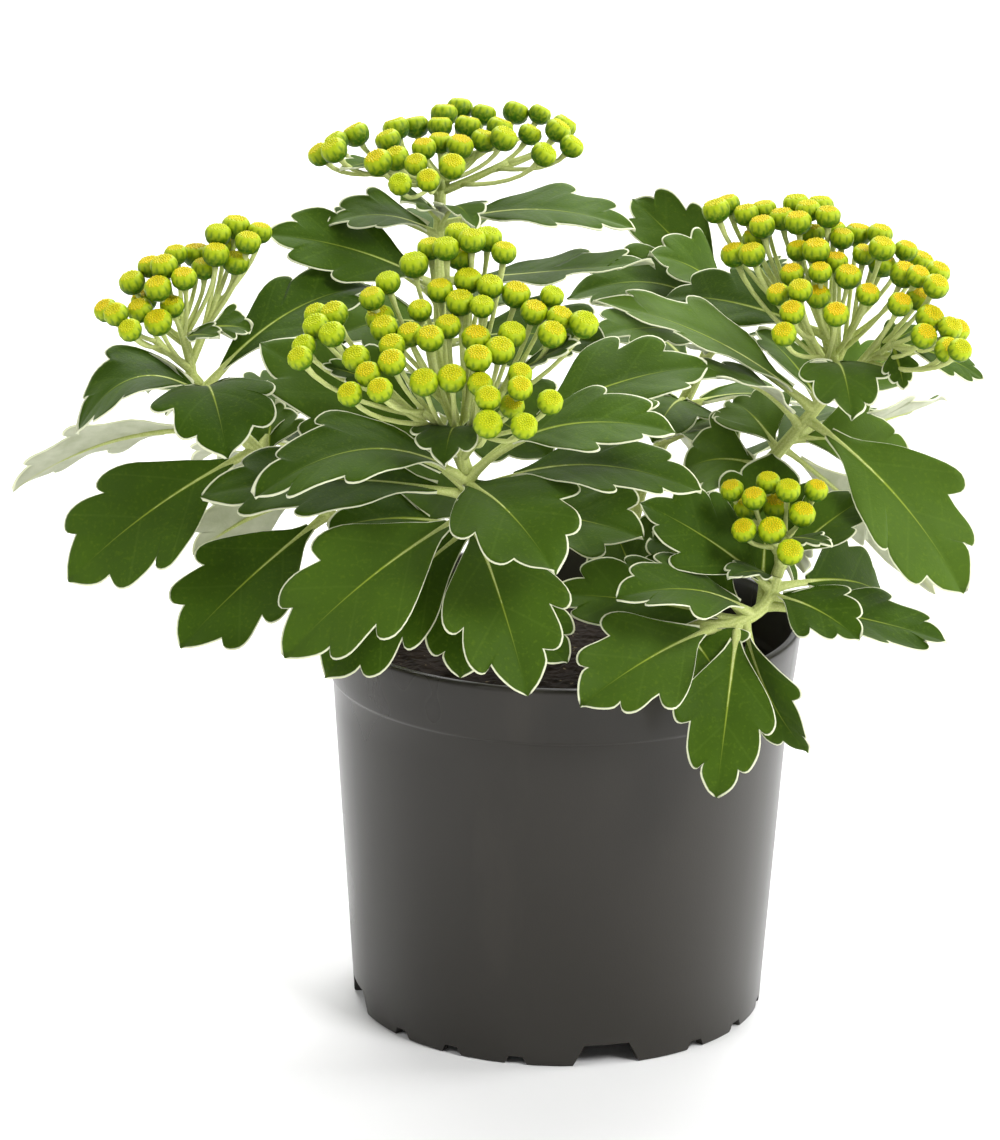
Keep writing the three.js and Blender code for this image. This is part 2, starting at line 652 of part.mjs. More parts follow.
function stemPath({ foot, path }) {
  const low = new THREE.Vector3(foot[0], foot[1], MIX_TOP - ROOT_DEPTH);
  const high = new THREE.Vector3(foot[0], foot[1], MIX_TOP + 4);
  return [low, high, ...path.map(seen)];
}

function shownLeaf(free, [at, across, up, depth, width, tilt, roll, arch, stalk]) {
  const tip = seen([across, up, depth]);
  return { root: along(free, at), tip, width, tilt, roll, arch, stalk, fold: LEAF_FOLD };
}

// Leaves spiralling up the side of a stem that faces away, spread about one direction.
function hiddenLeaves(free, { count, from, to, turn, spread, length, seed }) {
  const roll = dice(seed ?? 1);
  return Array.from({ length: count }, (_, i) => {
    const swing = ((i * GOLDEN) % 1) * 2 - 1;
    const heading = (turn + spread * swing) * DEG;
    const rise = ((48 * i) / count + 12 * roll() - 30) * DEG;
    const out = new THREE.Vector3(Math.cos(heading), Math.sin(heading), 0);
    const reach = length * (0.85 + 0.3 * roll());
    const root = along(free, from + ((to - from) * (i + 0.5)) / count);
    const tip = root.clone().addScaledVector(out, reach * Math.cos(rise))
      .addScaledVector(UP, reach * Math.sin(rise));
    const facing = out.multiplyScalar(0.35).addScaledVector(UP, 0.9);
    const width = length * (0.5 + 0.06 * roll());
    return { root, tip, facing, width, roll: 30 * (roll() - 0.5), arch: 6, fold: LEAF_FOLD };
  });
}

function leavesOf(stem) {
  const free = stemPath(stem).slice(1);
  return [...stem.leaves.map((row) => shownLeaf(free, row)), ...hiddenLeaves(free, stem.behind)];
}

function leafyStem(stem) {
  const path = stemPath(stem);
  const free = path.slice(1);
  const steps = 5;
  const line = [path[0]];
  for (let i = 0; i <= steps; i++) line.push(along(free, i / steps));
  const radii = line.map((_, i) => STEM_RADIUS + ((STEM_TIP_RADIUS - STEM_RADIUS) * i) / steps);
  return fused([bar(line, radii, 5), ...leavesOf(stem).map(leaf)]);
}

// The nearest place on a bud's sight line, before or behind the depth asked for, that is
// clear of the buds already placed.
function clearOf(placed, across, up, depth) {
  for (let step = 0; ; step++) {
    const offset = (step % 2 ? 1 : -1) * Math.ceil(step / 2) * 0.8;
    const place = seen([across, up, depth + offset]);
    if (placed.every((other) => other.distanceTo(place) > BUD_SPACING)) return place;
  }
}

function mean(points) {
  return points.reduce((sum, p) => sum.add(p), new THREE.Vector3()).divideScalar(points.length);
}

// Gives each branch, an object with an end, its start along a bar from low to high. Those
// that swing out furthest leave lowest.
function forks(low, high, branches) {
  const ahead = high.clone().sub(low);
  const swing = ({ end }) => end.clone().sub(high).angleTo(ahead);
  const sorted = branches.slice().sort((a, b) => swing(a) - swing(b));
  return sorted.map((branch, i) => {
    const start = high.clone().lerp(low, 0.04 + (FORK_SHARE * i) / sorted.length);
    return { ...branch, start };
  });
}

// The places of a head's buds, shared out among rays that fork from the top of the stem.
function headLayout(head) {
  const path = stemPath(STEMS[head.stem]);
  const top = path[path.length - 1];
  const below = along(path.slice(1), 0.97);
  const ahead = top.clone().sub(below).normalize();
  const foot = top.clone().addScaledVector(ahead, HEAD_GAP);
  const hub = foot.clone().addScaledVector(ahead, HUB_LENGTH);
  const [, middleUp, middleDepth] = head.middle;
  const roll = dice(101 + head.stem);
  const centres = [];
  for (const [across, up] of head.buds) {
    const depth = middleDepth + head.slope * (up - middleUp);
    centres.push(clearOf(centres, across, up, depth));
  }
  const seeds = centres.filter((_, i) => i % BUDS_PER_RAY === 0);
  const groups = seeds.map(() => []);
  for (const centre of centres) {
    const nearest = seeds.reduce(
      (best, seed, i) => (seed.distanceTo(centre) < seeds[best].distanceTo(centre) ? i : best), 0);
    groups[nearest].push(centre);
  }
  const crown = mean(centres).lerp(hub, 1 - AXIS_SHARE);
  const rays = forks(hub, crown, groups.map((buds) => ({ end: mean(buds).lerp(hub, RAY_SHARE), buds })));
  return { foot, hub, crown, rays, lean: new THREE.Vector3(...head.lean).normalize(), roll };
}

// A small leaf that springs from the nearest place on the head's axis or rays.
function headLeaf(bars, row) {
  const [rootAcross, rootUp, rootDepth, across, up, depth, width, tilt, arch] = row;
  const wanted = seen([rootAcross, rootUp, rootDepth]);
  const places = bars.map(([low, high]) =>
    new THREE.Line3(low, high).closestPointToPoint(wanted, true, new THREE.Vector3()));
  places.sort((a, b) => a.distanceTo(wanted) - b.distanceTo(wanted));
  const tip = seen([across, up, depth]);
  return { root: places[0], tip, width, tilt, roll: 0, arch, fold: LEAF_FOLD };
}

function flowerHead(head) {
  const { foot, hub, crown, rays, lean, roll } = headLayout(head);
  const axisRadii = [STEM_TIP_RADIUS, STEM_TIP_RADIUS, RAY_RADIUS];
  const pieces = [bar([foot, hub, crown], axisRadii, 4)];
  for (const { start, end, buds } of rays) {
    pieces.push(bar([start, end], [RAY_RADIUS, RAY_TIP_RADIUS], 3));
    for (const stalk of forks(start, end, buds.map((centre) => ({ end: centre })))) {
      const axis = stalk.end.clone().sub(hub).normalize().multiplyScalar(0.6).addScaledVector(lean, 0.5);
      pieces.push(bud(stalk.start, stalk.end, axis, BUD_RADIUS * (0.9 + 0.2 * roll())));
    }
  }
  const bars = [[hub, crown], ...rays.map(({ start, end }) => [start, end])];
  for (const row of head.leaves) pieces.push(leaf(headLeaf(bars, row)));
  return fused(pieces);
}

const plant = new THREE.Group();
plant.name = "potted_gold_and_silver_chrysanthemum";
plant.add(named("pot", pot(), POT_GREY));
plant.add(named("potting_mix", pottingMix(STEMS), MIX_BROWN));
for (const stem of STEMS) plant.add(named(stem.name, leafyStem(stem), LEAF_GREEN));
for (const head of HEADS) plant.add(named(head.name, flowerHead(head), BUD_YELLOW));

export default plant;
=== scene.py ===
import math

import bpy
import numpy as np
from mathutils import Matrix, Vector, noise


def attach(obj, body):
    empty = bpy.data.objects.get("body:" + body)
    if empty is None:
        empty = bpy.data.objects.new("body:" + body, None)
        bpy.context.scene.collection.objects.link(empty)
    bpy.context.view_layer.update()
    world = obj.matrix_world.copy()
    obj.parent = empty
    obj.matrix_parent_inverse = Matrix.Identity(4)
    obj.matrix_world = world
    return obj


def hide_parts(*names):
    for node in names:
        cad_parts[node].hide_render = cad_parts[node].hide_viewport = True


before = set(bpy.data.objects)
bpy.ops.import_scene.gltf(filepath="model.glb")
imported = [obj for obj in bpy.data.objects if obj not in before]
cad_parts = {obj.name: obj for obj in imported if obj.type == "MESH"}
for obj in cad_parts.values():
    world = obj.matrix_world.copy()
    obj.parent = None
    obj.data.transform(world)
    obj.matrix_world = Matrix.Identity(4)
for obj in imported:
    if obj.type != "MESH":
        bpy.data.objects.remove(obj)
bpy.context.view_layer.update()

# All lengths are in millimetres until a mesh is made. Places named [across, up, depth] are
# read square to the viewer's sight line: right and up of its middle, then how far behind
# the pot's axis.
MM = 0.001
UP = np.array([0.0, 0.0, 1.0])
SHIFT = np.array([17.9, -1.8, 0.0])

# Camera: angles in degrees, SIGHT_LENGTH from the eye to the plane the places are read in
EYE = np.array([0.0, -1150.0, 465.0])
EYE_PITCH = 17.06
EYE_YAW = -0.79
EYE_ROLL = 0.67
SIGHT_LENGTH = 1201.0
LENS = 151.74

# Studio, in metres: each light is [name, place, what it points at, size, watts]
LIGHTS = [
    ("key_right", (1.0, -0.9, 1.3), (0, 0, 0.12), (0.6, 0.6), 22),
    ("fill_left", (-1.1, -0.9, 1.3), (0, 0, 0.12), (0.6, 0.6), 8),
    ("strip_right", (1.3, 0.2, 0.5), (0, 0, 0.1), (0.45, 1.4), 14),
    ("overhead", (0.0, 1.0, 1.9), (0, 0.1, 0), (1.4, 1.4), 40),
    ("backdrop", (0.0, 3.2, 2.2), (0, 2.8, 0), (4.0, 3.0), 150),
]
# The sky is white at the horizon and dims to HIGH_SKY between two heights. The floor glows
# more and more over GLOW_RANGE, so that it meets the horizon white.
HIGH_SKY = 0.1
SKY_DIMS = (0.12, 0.3)
FLOOR_REACH = 20
GLOW = 0.9
GLOW_RANGE = (0.7, 2.2)

# Pot: the arcs of a notch are degrees at its mouth and at its top
RIM_RADIUS = 60.0
RIM_TOP = 100.5
COLLAR_RADIUS = 58.5
COLLAR_FOOT = 86.6
BODY_TOP_RADIUS = 58.0
BASE_RADIUS = 52.0
WALL = 1.3
LIP = 2.0
FOOT_WIDTH = 2.4
FLOOR_UNDERSIDE = 6.0
FLOOR_TOP = 7.6
POT_SIDES = 160
SHARP_EDGE = 40
NOTCH_COUNT = 4
NOTCH_HEIGHT = 5.6
NOTCH_TURN = 14
NOTCH_ARCS = (20, 12.5)
SHALLOW_HEIGHT = 2.2
SHALLOW_TURNS = (28, 46, 65)
SHALLOW_ARCS = (7.5, 3.8)
DRAIN_RADIUS = 5.0
DRAIN_RING = 36.0
DRAIN_COUNT = 6
DRAIN_SIDES = 28

# Potting mix
MIX_TOP = 88.0
MIX_GAP = 0.35
MIX_RINGS = 34
MIX_SIDES = 96
MIX_PEAK = 1.5
ROOT_DEPTH = 24.0

# Stems and flower heads
STEM_RADIUS = 2.0
STEM_TIP_RADIUS = 1.5
STEM_STEPS = 26
STEM_SIDES = 18
RIBBING = 0.025
RAY_RADIUS = 1.15
RAY_TIP_RADIUS = 0.8
RAY_STEPS = 8
RAY_SIDES = 10
RAY_BOW = 0.03
STALK_RADIUS = 0.55
STALK_STEPS = 6
STALK_SIDES = 7
HEAD_GAP = 0.35
HUB_LENGTH = 3.0
BUDS_PER_RAY = 7
RAY_SHARE = 0.4
AXIS_SHARE = 0.2
FORK_START = 0.04
FORK_SHARE = 0.9
GOLDEN = 0.618034
ANY_TURN = 6.28

# Buds: the profile is [height, radius] from the neck to the button, for a bud of radius 1
BUD_RADIUS = 3.2
BUD_SPACING = 6.2
BUD_STEP = 0.8
BUD_PROFILE = [
    (-0.93, 0.17), (-0.88, 0.42), (-0.74, 0.68), (-0.5, 0.88), (-0.22, 0.98), (0.05, 1.0),
    (0.28, 0.96), (0.45, 0.87), (0.56, 0.74), (0.62, 0.58), (0.62, 0.38), (0.58, 0.16)]
BUD_SIDES = 40
BRACTS = 10
FLORETS = 48
FLORET_RADIUS = 0.092
FLORET_SIDES = 5
BUTTON_REACH = 0.7
BUTTON_SHOULDER = 0.58
BUTTON_REACHES = [0, 0.38, 0.58, 0.74, 0.87]
BUTTON_HEIGHTS = [0.585, 0.62, 0.62, 0.56, 0.45]

# Leaves
BLADE = 0.5
RIM_BLADE = 0.75
RIM_BULGE = 0.14
PETIOLE_RADIUS = 1.05
PETIOLE_SHARE = 0.12
PETIOLE_SIDES = 8
MIDRIB_END = 0.86
MIDRIB_STEPS = 12
LEAF_FOLD = 0.12
VEIN_SLANT = 1.1
THIN_WIDTH = 20
LARGE_WIDTH = 28

# How much paler the leaves of a stem are, a painted sheen, and how much riper the buds of a head
PAINTED_SHEEN_STEMS = {"right_leafy_stem": 0.6, "back_leafy_stem": 0.15, "back_right_leafy_stem": 0.2}
RIPE_HEADS = {"right_flower_head": 0.3, "front_flower_head": 0.12, "back_flower_head": -0.15}

# Material numbers: a stem has felt and green, a flower head felt, buds and green
FELT, STEM_GREEN = 0, 1
BUD, HEAD_GREEN = 1, 2

# Half of a leaf's outline from the petiole to the tip: [distance along the blade, share of
# the half width]. The NOTCHES are the sharp rows between two lobes.
LARGE_OUTLINE = [
    (0, 0.1), (0.09, 0.19), (0.18, 0.36), (0.28, 0.59), (0.38, 0.81), (0.47, 0.94), (0.55, 1.0),
    (0.6, 0.95), (0.612, 0.84), (0.59, 0.7), (0.66, 0.76), (0.73, 0.79), (0.79, 0.77),
    (0.833, 0.68), (0.842, 0.57), (0.82, 0.44), (0.865, 0.42), (0.915, 0.33), (0.96, 0.19),
    (0.994, 0.04),
]
SMALL_OUTLINE = [
    (0, 0.1), (0.1, 0.2), (0.2, 0.4), (0.3, 0.64), (0.4, 0.85), (0.49, 0.97), (0.55, 1.0),
    (0.6, 0.93), (0.61, 0.82), (0.59, 0.69), (0.67, 0.72), (0.74, 0.71), (0.8, 0.65),
    (0.845, 0.56), (0.853, 0.46), (0.83, 0.35), (0.875, 0.34), (0.925, 0.27), (0.965, 0.16),
    (0.994, 0.04),
]
NOTCHES = (9, 15)
LOBES = 3
LOBE_TIPS = (6, 12, 19)
OUTLINE_STEPS = 2
# Lines along a blade as shares of its half width, left of the midrib below 0
BLADE_LINES = (-1.0, -0.9, -0.78, -0.6, -0.4, -0.2, 0, 0.2, 0.4, 0.6, 0.78, 0.9, 1.0)
# What the fields of a leaf hold on its rim
RIM_MARKS = {"edge": 0.0, "side": 9.0, "along": 0.5, "vein": 9.0}

# Stems: the same rows as the solids. Leaves [place on the stem, across, up and depth of
# the tip, width, tilt, roll, arch, petiole share]; behind [count, lowest and highest
# place on the stem, heading, spread, length, seed].
STEMS = [
    {"name": "front_leafy_stem", "foot": [-8, -16],
     "path": [[-5, -12, -30], [-6, 7, -40], [-8.5, 24, -43]],
     "leaves": [
         [0.8, -54, -22, -66, 31, 30, 0, 6], [0.73, 7, -31.5, -72, 30, 30, 0, 5, 0.02],
         [0.93, 14, -1, -76, 32, 40, 0, 5, 0.02], [0.95, -61.5, 18, -60, 27, 50, 0, 12],
         [0.87, -75, 18.5, -44, 31, 50, 0, 5], [0.74, -44, -27, -56, 30, 35, 0, 5, 0.02],
         [0.6, -10, -27, -60, 27, 30, 0, 4, 0.02], [0.9, -60, 57, -26, 29, 25, 0, 4],
         [0.96, 52, 51, -34, 28, 45, 0, 9, 0.34], [0.95, 44, 34.5, -58, 26, 45, 0, 10, 0.3],
         [0.88, 50.5, 19.5, -52, 28, 55, 0, 8, 0.2], [0.4, 17, -23, -54, 27, 30, 0, 4],
         [0.72, -43, 10, -38, 24, 45, 0, 4, 0.3]]},
    {"name": "back_leafy_stem", "foot": [-4, 10],
     "path": [[-12, 34, 8], [-15, 66, 13], [-15, 90, 15]],
     "leaves": [
         [0.72, -58.5, 84, 2, 27, 38, 0, 4], [0.88, -43, 86.5, 8, 20, 62, 0, 4],
         [0.94, -25, 92, 0, 14, 45, 0, 2], [0.9, -6, 85, -8, 14, 70, 0, 6],
         [0.92, 34, 85, 8, 23, 62, 0, 5], [0.74, 38.5, 77, -8, 21, 62, 0, 0],
         [0.55, 27, 56, -8, 28, 45, 0, 4], [0.6, -42, 58, -2, 28, 45, 0, 4],
         [0.45, -24, 36, -26, 30, 40, 0, 4], [0.4, 13, 28, -24, 32, 35, 0, 4],
         [0.2, -30, 20, -16, 30, 40, 0, 4], [0.2, 36, 8, -16, 30, 40, 0, 4]],
     "behind": [5, 0.4, 0.8, 92, 70, 40, 11]},
    {"name": "left_leafy_stem", "foot": [-26, -4],
     "path": [[-32, 4, -14], [-52, 22, -20], [-66, 35, -22], [-75, 46, -22]],
     "leaves": [
         [0.88, -106, 34, -30, 26, 58, 0, 12], [0.95, -68, 28, -58, 31, 45, 0, 8],
         [0.93, -88, 45, -8, 14, 60, 0, 2], [0.75, -122, 20, -8, 25, 98, 0, 6],
         [0.65, -108, -3, -36, 31, 27, 0, 6], [0.38, -80, -19.5, -42, 28, 32, 0, 3],
         [0.45, -77, 4, -14, 20, 140, 0, 3], [0.96, -32, 71, 2, 23, 45, 0, 8],
         [0.6, -56.5, 41, -8, 18, 40, 0, 2]],
     "behind": [3, 0.3, 0.7, 105, 50, 42, 23]},
    {"name": "right_leafy_stem", "foot": [24, -4],
     "path": [[50, 10, -12], [68, 28, -12], [81, 43, -12]],
     "leaves": [
         [0.86, 116, -6, -34, 30, 35, 0, 8], [0.8, 111, 43.5, 24, 22, 112, 0, -2],
         [0.76, 102, 29, -2, 24, 25, 0, 3], [0.82, 47.5, 48, -30, 21, 62, 0, 5],
         [0.91, 23, 67.5, -14, 25, 60, 0, 5], [0.62, 46, 25, -8, 26, 35, 0, 4],
         [0.72, 109, -6, 2, 14, 150, 0, 6], [0.9, 103, 55, 10, 18, 40, 0, 3],
         [0.95, 64, 60, 2, 15, 75, 0, 2], [0.7, 58, 42, 4, 22, 40, 0, 3]],
     "behind": [3, 0.3, 0.7, 75, 40, 42, 31]},
    {"name": "low_right_leafy_stem", "foot": [34, -22],
     "path": [[46, -15, -42], [57, -14, -44], [66, -9, -40], [69, -2, -37]],
     "leaves": [
         [0.66, 29, -7, -62, 26, 50, 0, 5], [0.84, 90, -17.5, -54, 21, 45, 0, 3],
         [0.76, 112, -18, -38, 22, 50, 0, 2], [0.44, 20, -34, -70, 28, 30, 0, 4],
         [0.25, 56, -29, -52, 22, 20, 0, 3], [0.56, 54, -57, -68, 26, 20, 0, 6],
         [0.6, 77, -46, -54, 20, 30, 55, 4], [0.88, 35, 17, -36, 26, 35, 0, 3],
         [0.97, 57, -2, -50, 12, 60, 0, 2], [0.9, 97, -8, -8, 32, 30, 0, 6, 0.2],
         [0.58, 13, -6, -36, 26, 30, 0, 3], [0.72, 68, 29, -20, 34, 15, 0, -5, 0.2],
         [0.62, 38, 8, -20, 26, 25, 0, 3]]},
    {"name": "back_left_leafy_stem", "foot": [-22, 24],
     "path": [[-38, 14, 40], [-44, 38, 48], [-46, 52, 50]],
     "leaves": [
         [0.95, -47.5, 76, 28, 26, 35, 0, 3], [0.9, -35, 77, 46, 22, 40, 0, 3]],
     "behind": [6, 0.35, 1, 125, 75, 42, 41]},
    {"name": "back_right_leafy_stem", "foot": [20, 22],
     "path": [[34, 16, 34], [48, 46, 38], [58, 67, 38]],
     "leaves": [
         [1, 33, 93, 58, 20, 10, 0, 3], [0.97, 37, 79, 30, 25, 45, 0, 4],
         [0.9, 16.5, 68, 31, 26, 45, 0, 9], [0.95, 72, 74, 20, 22, 50, 0, 3],
         [0.75, 60, 54, 12, 20, 60, 0, 3], [0.8, 24, 58, 6, 26, 50, 0, 4],
         [0.5, 59, 33, 6, 22, 55, 0, 3], [0.62, 38, 32, 16, 24, 45, 0, 4],
         [0.12, 27, 13, 8, 28, 15, 0, 2]],
     "behind": [5, 0.35, 0.85, 60, 75, 42, 53]},
]

# Flower heads: buds [across, up]; leaves [across, up, depth of root, the same of the tip,
# width, tilt, arch].
HEADS = [
    {"name": "front_flower_head", "stem": 0, "lean": [0, -0.45, 0.9],
     "middle": [-12, 60, -58], "slope": 0.95,
     "buds": [
         [-21.5, 76.5], [-17.5, 80.5], [-13.5, 80.5], [-10, 78.5], [-10.5, 84], [-7, 82.5],
         [-3, 83], [1, 79.5], [-28, 72], [-32, 68], [-15, 70], [-8, 72.5], [-10, 67], [-2.5, 71],
         [-4.5, 66], [4, 69], [13, 68.5], [8.5, 64.5], [15, 63], [21, 61.5], [13, 59], [-20, 65],
         [-29, 60.5], [-30, 63], [-22.5, 59], [-17.5, 58], [-13, 61], [-6, 58], [3, 59], [0, 55],
         [-5.5, 53], [-27, 56], [-27, 52], [-36, 53], [-33, 49], [-19, 47], [-12, 48],
         [-5, 46.5], [-37.5, 44], [-30, 45], [5, 49], [5, 45.5], [-3, 43], [3, 41], [12.5, 42],
         [-3, 36.5], [6, 36], [-41.5, 64], [-46, 64], [-46, 61], [-42, 59], [-49, 56], [-50, 53]],
     "leaves": [
         [-9, 33, -48, -14, 26, -70, 20, 85, 5], [-32, 50, -62, -45, 51, -60, 8, 40, 1],
         [8, 48, -60, 20, 57, -62, 9, 50, 1]]},
    {"name": "back_flower_head", "stem": 1, "lean": [0, 0, 1],
     "middle": [-12, 108, 15], "slope": 2.3,
     "buds": [
         [-10, 115.5], [-14, 114], [-4, 114], [4, 114.5], [10, 114], [16, 111], [-36, 109],
         [-41, 107], [-45, 104], [-41.5, 105], [-26, 110.5], [-28, 107.5], [-21, 111],
         [-15, 111], [-8, 111], [0, 110.5], [7.5, 109], [14.5, 110], [18, 106], [-19, 105.5],
         [-15, 107], [-10, 106], [-4, 107.5], [1, 108], [-30.5, 102], [-26, 103], [-21, 101.5],
         [-12, 101], [11, 104], [-25, 96.5], [-18, 97.5]],
     "leaves": [
         [-30, 98, 5, -40, 100, 2, 8, 60, 1]]},
    {"name": "left_flower_head", "stem": 2, "lean": [-0.15, -0.3, 0.9],
     "middle": [-79, 74, -25], "slope": 0.9,
     "buds": [
         [-66, 86], [-70.5, 84], [-60, 84.5], [-63, 82], [-69, 81], [-71, 79], [-66, 77],
         [-81, 79], [-76, 79], [-74, 75.5], [-87.5, 76], [-84, 76], [-92, 72], [-85.5, 70.5],
         [-79, 73], [-89, 67.5], [-90, 65], [-82, 66], [-98.5, 65], [-96, 64], [-85.5, 62],
         [-92.5, 60]],
     "leaves": [
         [-80, 57, -26, -70, 58, -34, 9, 50, 1], [-74, 60, -24, -62, 60, -20, 13, 50, 1]]},
    {"name": "right_flower_head", "stem": 3, "lean": [0.05, -0.35, 0.93],
     "middle": [84, 77, -16], "slope": 1.2,
     "buds": [
         [57, 91.5], [54, 90], [61.5, 89], [66, 90], [70.5, 88], [74, 91.5], [77, 90], [80, 91],
         [82, 88.5], [74.5, 87], [65.5, 86], [64, 83], [63, 79], [58.5, 79], [78, 84],
         [83.5, 85], [85.5, 83], [89.5, 84], [95, 84], [74.5, 80], [79, 80], [91, 79],
         [95.5, 80.5], [95.5, 76.5], [101.5, 80], [84, 77], [80, 74.5], [73, 74], [87, 73.5],
         [101, 74], [104.5, 73.5], [105, 77], [109.5, 74.5], [109, 71], [69.5, 69], [75, 70],
         [79.5, 68.5], [92, 69], [100, 66.5], [104.5, 68], [73, 64.5], [84, 64], [107.5, 63],
         [71, 59], [106, 58.5], [112.5, 60.5], [114.5, 60], [112, 55], [115, 55]],
     "leaves": [
         [84, 51, -14, 88, 37.5, -40, 22, 60, 5], [96, 56, -16, 106, 61, -14, 12, 50, 1],
         [104, 52, -24, 121, 47.5, -22, 13, 45, 2], [102, 52, -24, 101, 45, -32, 9, 60, 1],
         [80, 58, -8, 40.5, 68, 20, 22, 30, 5]]},
    {"name": "low_right_flower_head", "stem": 4, "lean": [0.1, -0.45, 0.85],
     "middle": [68, 15, -44], "slope": 0.7,
     "buds": [
         [58, 20], [67, 22], [72, 20], [79, 20], [63.5, 18], [62, 16], [69, 16], [75.5, 14],
         [61, 10], [68, 10], [72.5, 4.5]],
     "leaves": [
         [72, 4, -44, 83, 6, -54, 8, 60, 1], [70, -2, -38, 93, 19, -26, 20, 45, 2]]},
]


def unit(v):
    return v / np.linalg.norm(v)


def turned_about(v, axis, angle):
    along_axis = axis * np.dot(axis, v)
    return along_axis + (v - along_axis) * math.cos(angle) + np.cross(axis, v) * math.sin(angle)


def square_to(axis):
    """A direction square to an axis, upright where it can be."""
    side = UP if abs(axis[2]) < 0.9 else np.array([1.0, 0.0, 0.0])
    return unit(side - axis * np.dot(side, axis))


def eye_axes():
    yaw, pitch, roll = (math.radians(a) for a in (EYE_YAW, EYE_PITCH, EYE_ROLL))
    ahead = np.array([
        math.sin(yaw) * math.cos(pitch), math.cos(yaw) * math.cos(pitch), -math.sin(pitch)])
    level = np.array([math.cos(yaw), -math.sin(yaw), 0.0])
    above = np.cross(level, ahead)
    right = level * math.cos(roll) + above * math.sin(roll)
    up = above * math.cos(roll) - level * math.sin(roll)
    return ahead, right, up


AHEAD, RIGHT, UPWARD = eye_axes()


def seen(place):
    """The point in space of a place read as [across, up, depth]."""
    across, up, depth = place
    ray = AHEAD * SIGHT_LENGTH + RIGHT * across + UPWARD * up
    return EYE + ray * (depth - EYE[1]) / ray[1]


def dice(seed):
    """The same run of numbers each time, from 0 to 1."""
    factor, modulus = 16807, 2147483647
    state = seed

    def roll():
        nonlocal state
        state = state * factor % modulus
        return state / modulus

    return roll


def along(points, t):
    """A point on the smooth line through the given points, t from 0 to 1."""
    spans = len(points) - 1
    span = min(int(t * spans), spans - 1)
    f = t * spans - span
    a, b = points[max(span - 1, 0)], points[span]
    c, d = points[span + 1], points[min(span + 2, spans)]
    return (a * (-0.5 * f + f * f - 0.5 * f ** 3) + b * (1 - 2.5 * f * f + 1.5 * f ** 3)
            + c * (0.5 * f + 2 * f * f - 1.5 * f ** 3) + d * (-0.5 * f * f + 0.5 * f ** 3))


def bend(start, middle, end, t):
    """A point on the curve that leaves start towards middle and reaches end from there."""
    return start * (1 - t) ** 2 + middle * 2 * t * (1 - t) + end * t * t


def steps_to_one(count):
    return [k / count for k in range(count + 1)]


def add_object(name, data):
    piece = bpy.data.objects.new(name, data)
    bpy.context.scene.collection.objects.link(piece)
    return piece


def mesh_object(name, points, faces):
    mesh = bpy.data.meshes.new(name)
    mesh.from_pydata((np.asarray(points, dtype=float) * MM).tolist(), [], faces)
    mesh.update()
    return add_object(name, mesh)


class Gather:
    """Collects closed shells into one object, with a few numbers at each point.

    edge: distance in from a leaf's rim. side: distance from its midrib, or the streaks of
    a bud's bracts. along: share of a leaf's length, or height on a bud. vein: distance from
    a side vein, or the stripes of a stem. under: 1 below a leaf. tone: how pale a leaf is,
    part random tone and part a painted sheen on some stems, or how ripe a bud is.
    """

    FIELDS = ("edge", "side", "along", "vein", "under", "tone")

    def __init__(self):
        self.points = []
        self.faces = []
        self.slots = []
        self.values = {field: [] for field in self.FIELDS}

    def add(self, points, faces, slot, **values):
        first = sum(len(shell) for shell in self.points)
        self.points.append(np.asarray(points, dtype=float))
        self.faces.extend([tuple(first + v for v in face) for face in faces])
        self.slots.extend([slot] * len(faces))
        for field in self.FIELDS:
            given = np.broadcast_to(np.asarray(values.get(field, 0.0), dtype=float), len(points))
            self.values[field].append(given)

    def add_ribbed(self, path, radii, sides, ribs=0.0):
        rings, faces = tube(path, radii, sides, ribs)
        self.add(rings, faces, FELT, vein=[float(i % 2) for i in range(len(rings))])

    def build(self, node, materials):
        piece = mesh_object(node + "_dressed", np.concatenate(self.points) + SHIFT, self.faces)
        mesh = piece.data
        for material in materials:
            mesh.materials.append(material)
        mesh.polygons.foreach_set("material_index", np.array(self.slots, dtype=np.int32))
        mesh.polygons.foreach_set("use_smooth", np.ones(len(self.slots), dtype=bool))
        for field in self.FIELDS:
            layer = mesh.attributes.new(field, "FLOAT", "POINT")
            layer.data.foreach_set("value", np.concatenate(self.values[field]).astype(np.float32))
        mesh.update()
        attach(piece, "root")
        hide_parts(node)


def ring_faces(rings, sides):
    """Faces that join rings of points to a closed tube with flat ends."""
    faces = []
    for i in range(rings - 1):
        for k in range(sides):
            n = (k + 1) % sides
            low, high = i * sides, (i + 1) * sides
            faces.append((low + k, low + n, high + n, high + k))
    last = (rings - 1) * sides
    faces.append(tuple(range(sides - 1, -1, -1)))
    faces.append(tuple(last + k for k in range(sides)))
    return faces


def tube(points, radii, sides, ribs=0.0):
    """A closed round tube through the points, with a radius at each."""
    points = [np.asarray(p, dtype=float) for p in points]
    rings = []
    side = None
    for i, p in enumerate(points):
        ahead = unit(points[min(i + 1, len(points) - 1)] - points[max(i - 1, 0)])
        side = square_to(ahead) if side is None else unit(side - ahead * np.dot(side, ahead))
        other = np.cross(ahead, side)
        for k in range(sides):
            angle = 2 * math.pi * k / sides
            radius = radii[i] * (1 + (ribs if k % 2 else -ribs))
            rings.append(p + side * radius * math.cos(angle) + other * radius * math.sin(angle))
    return rings, ring_faces(len(points), sides)


# Leaves

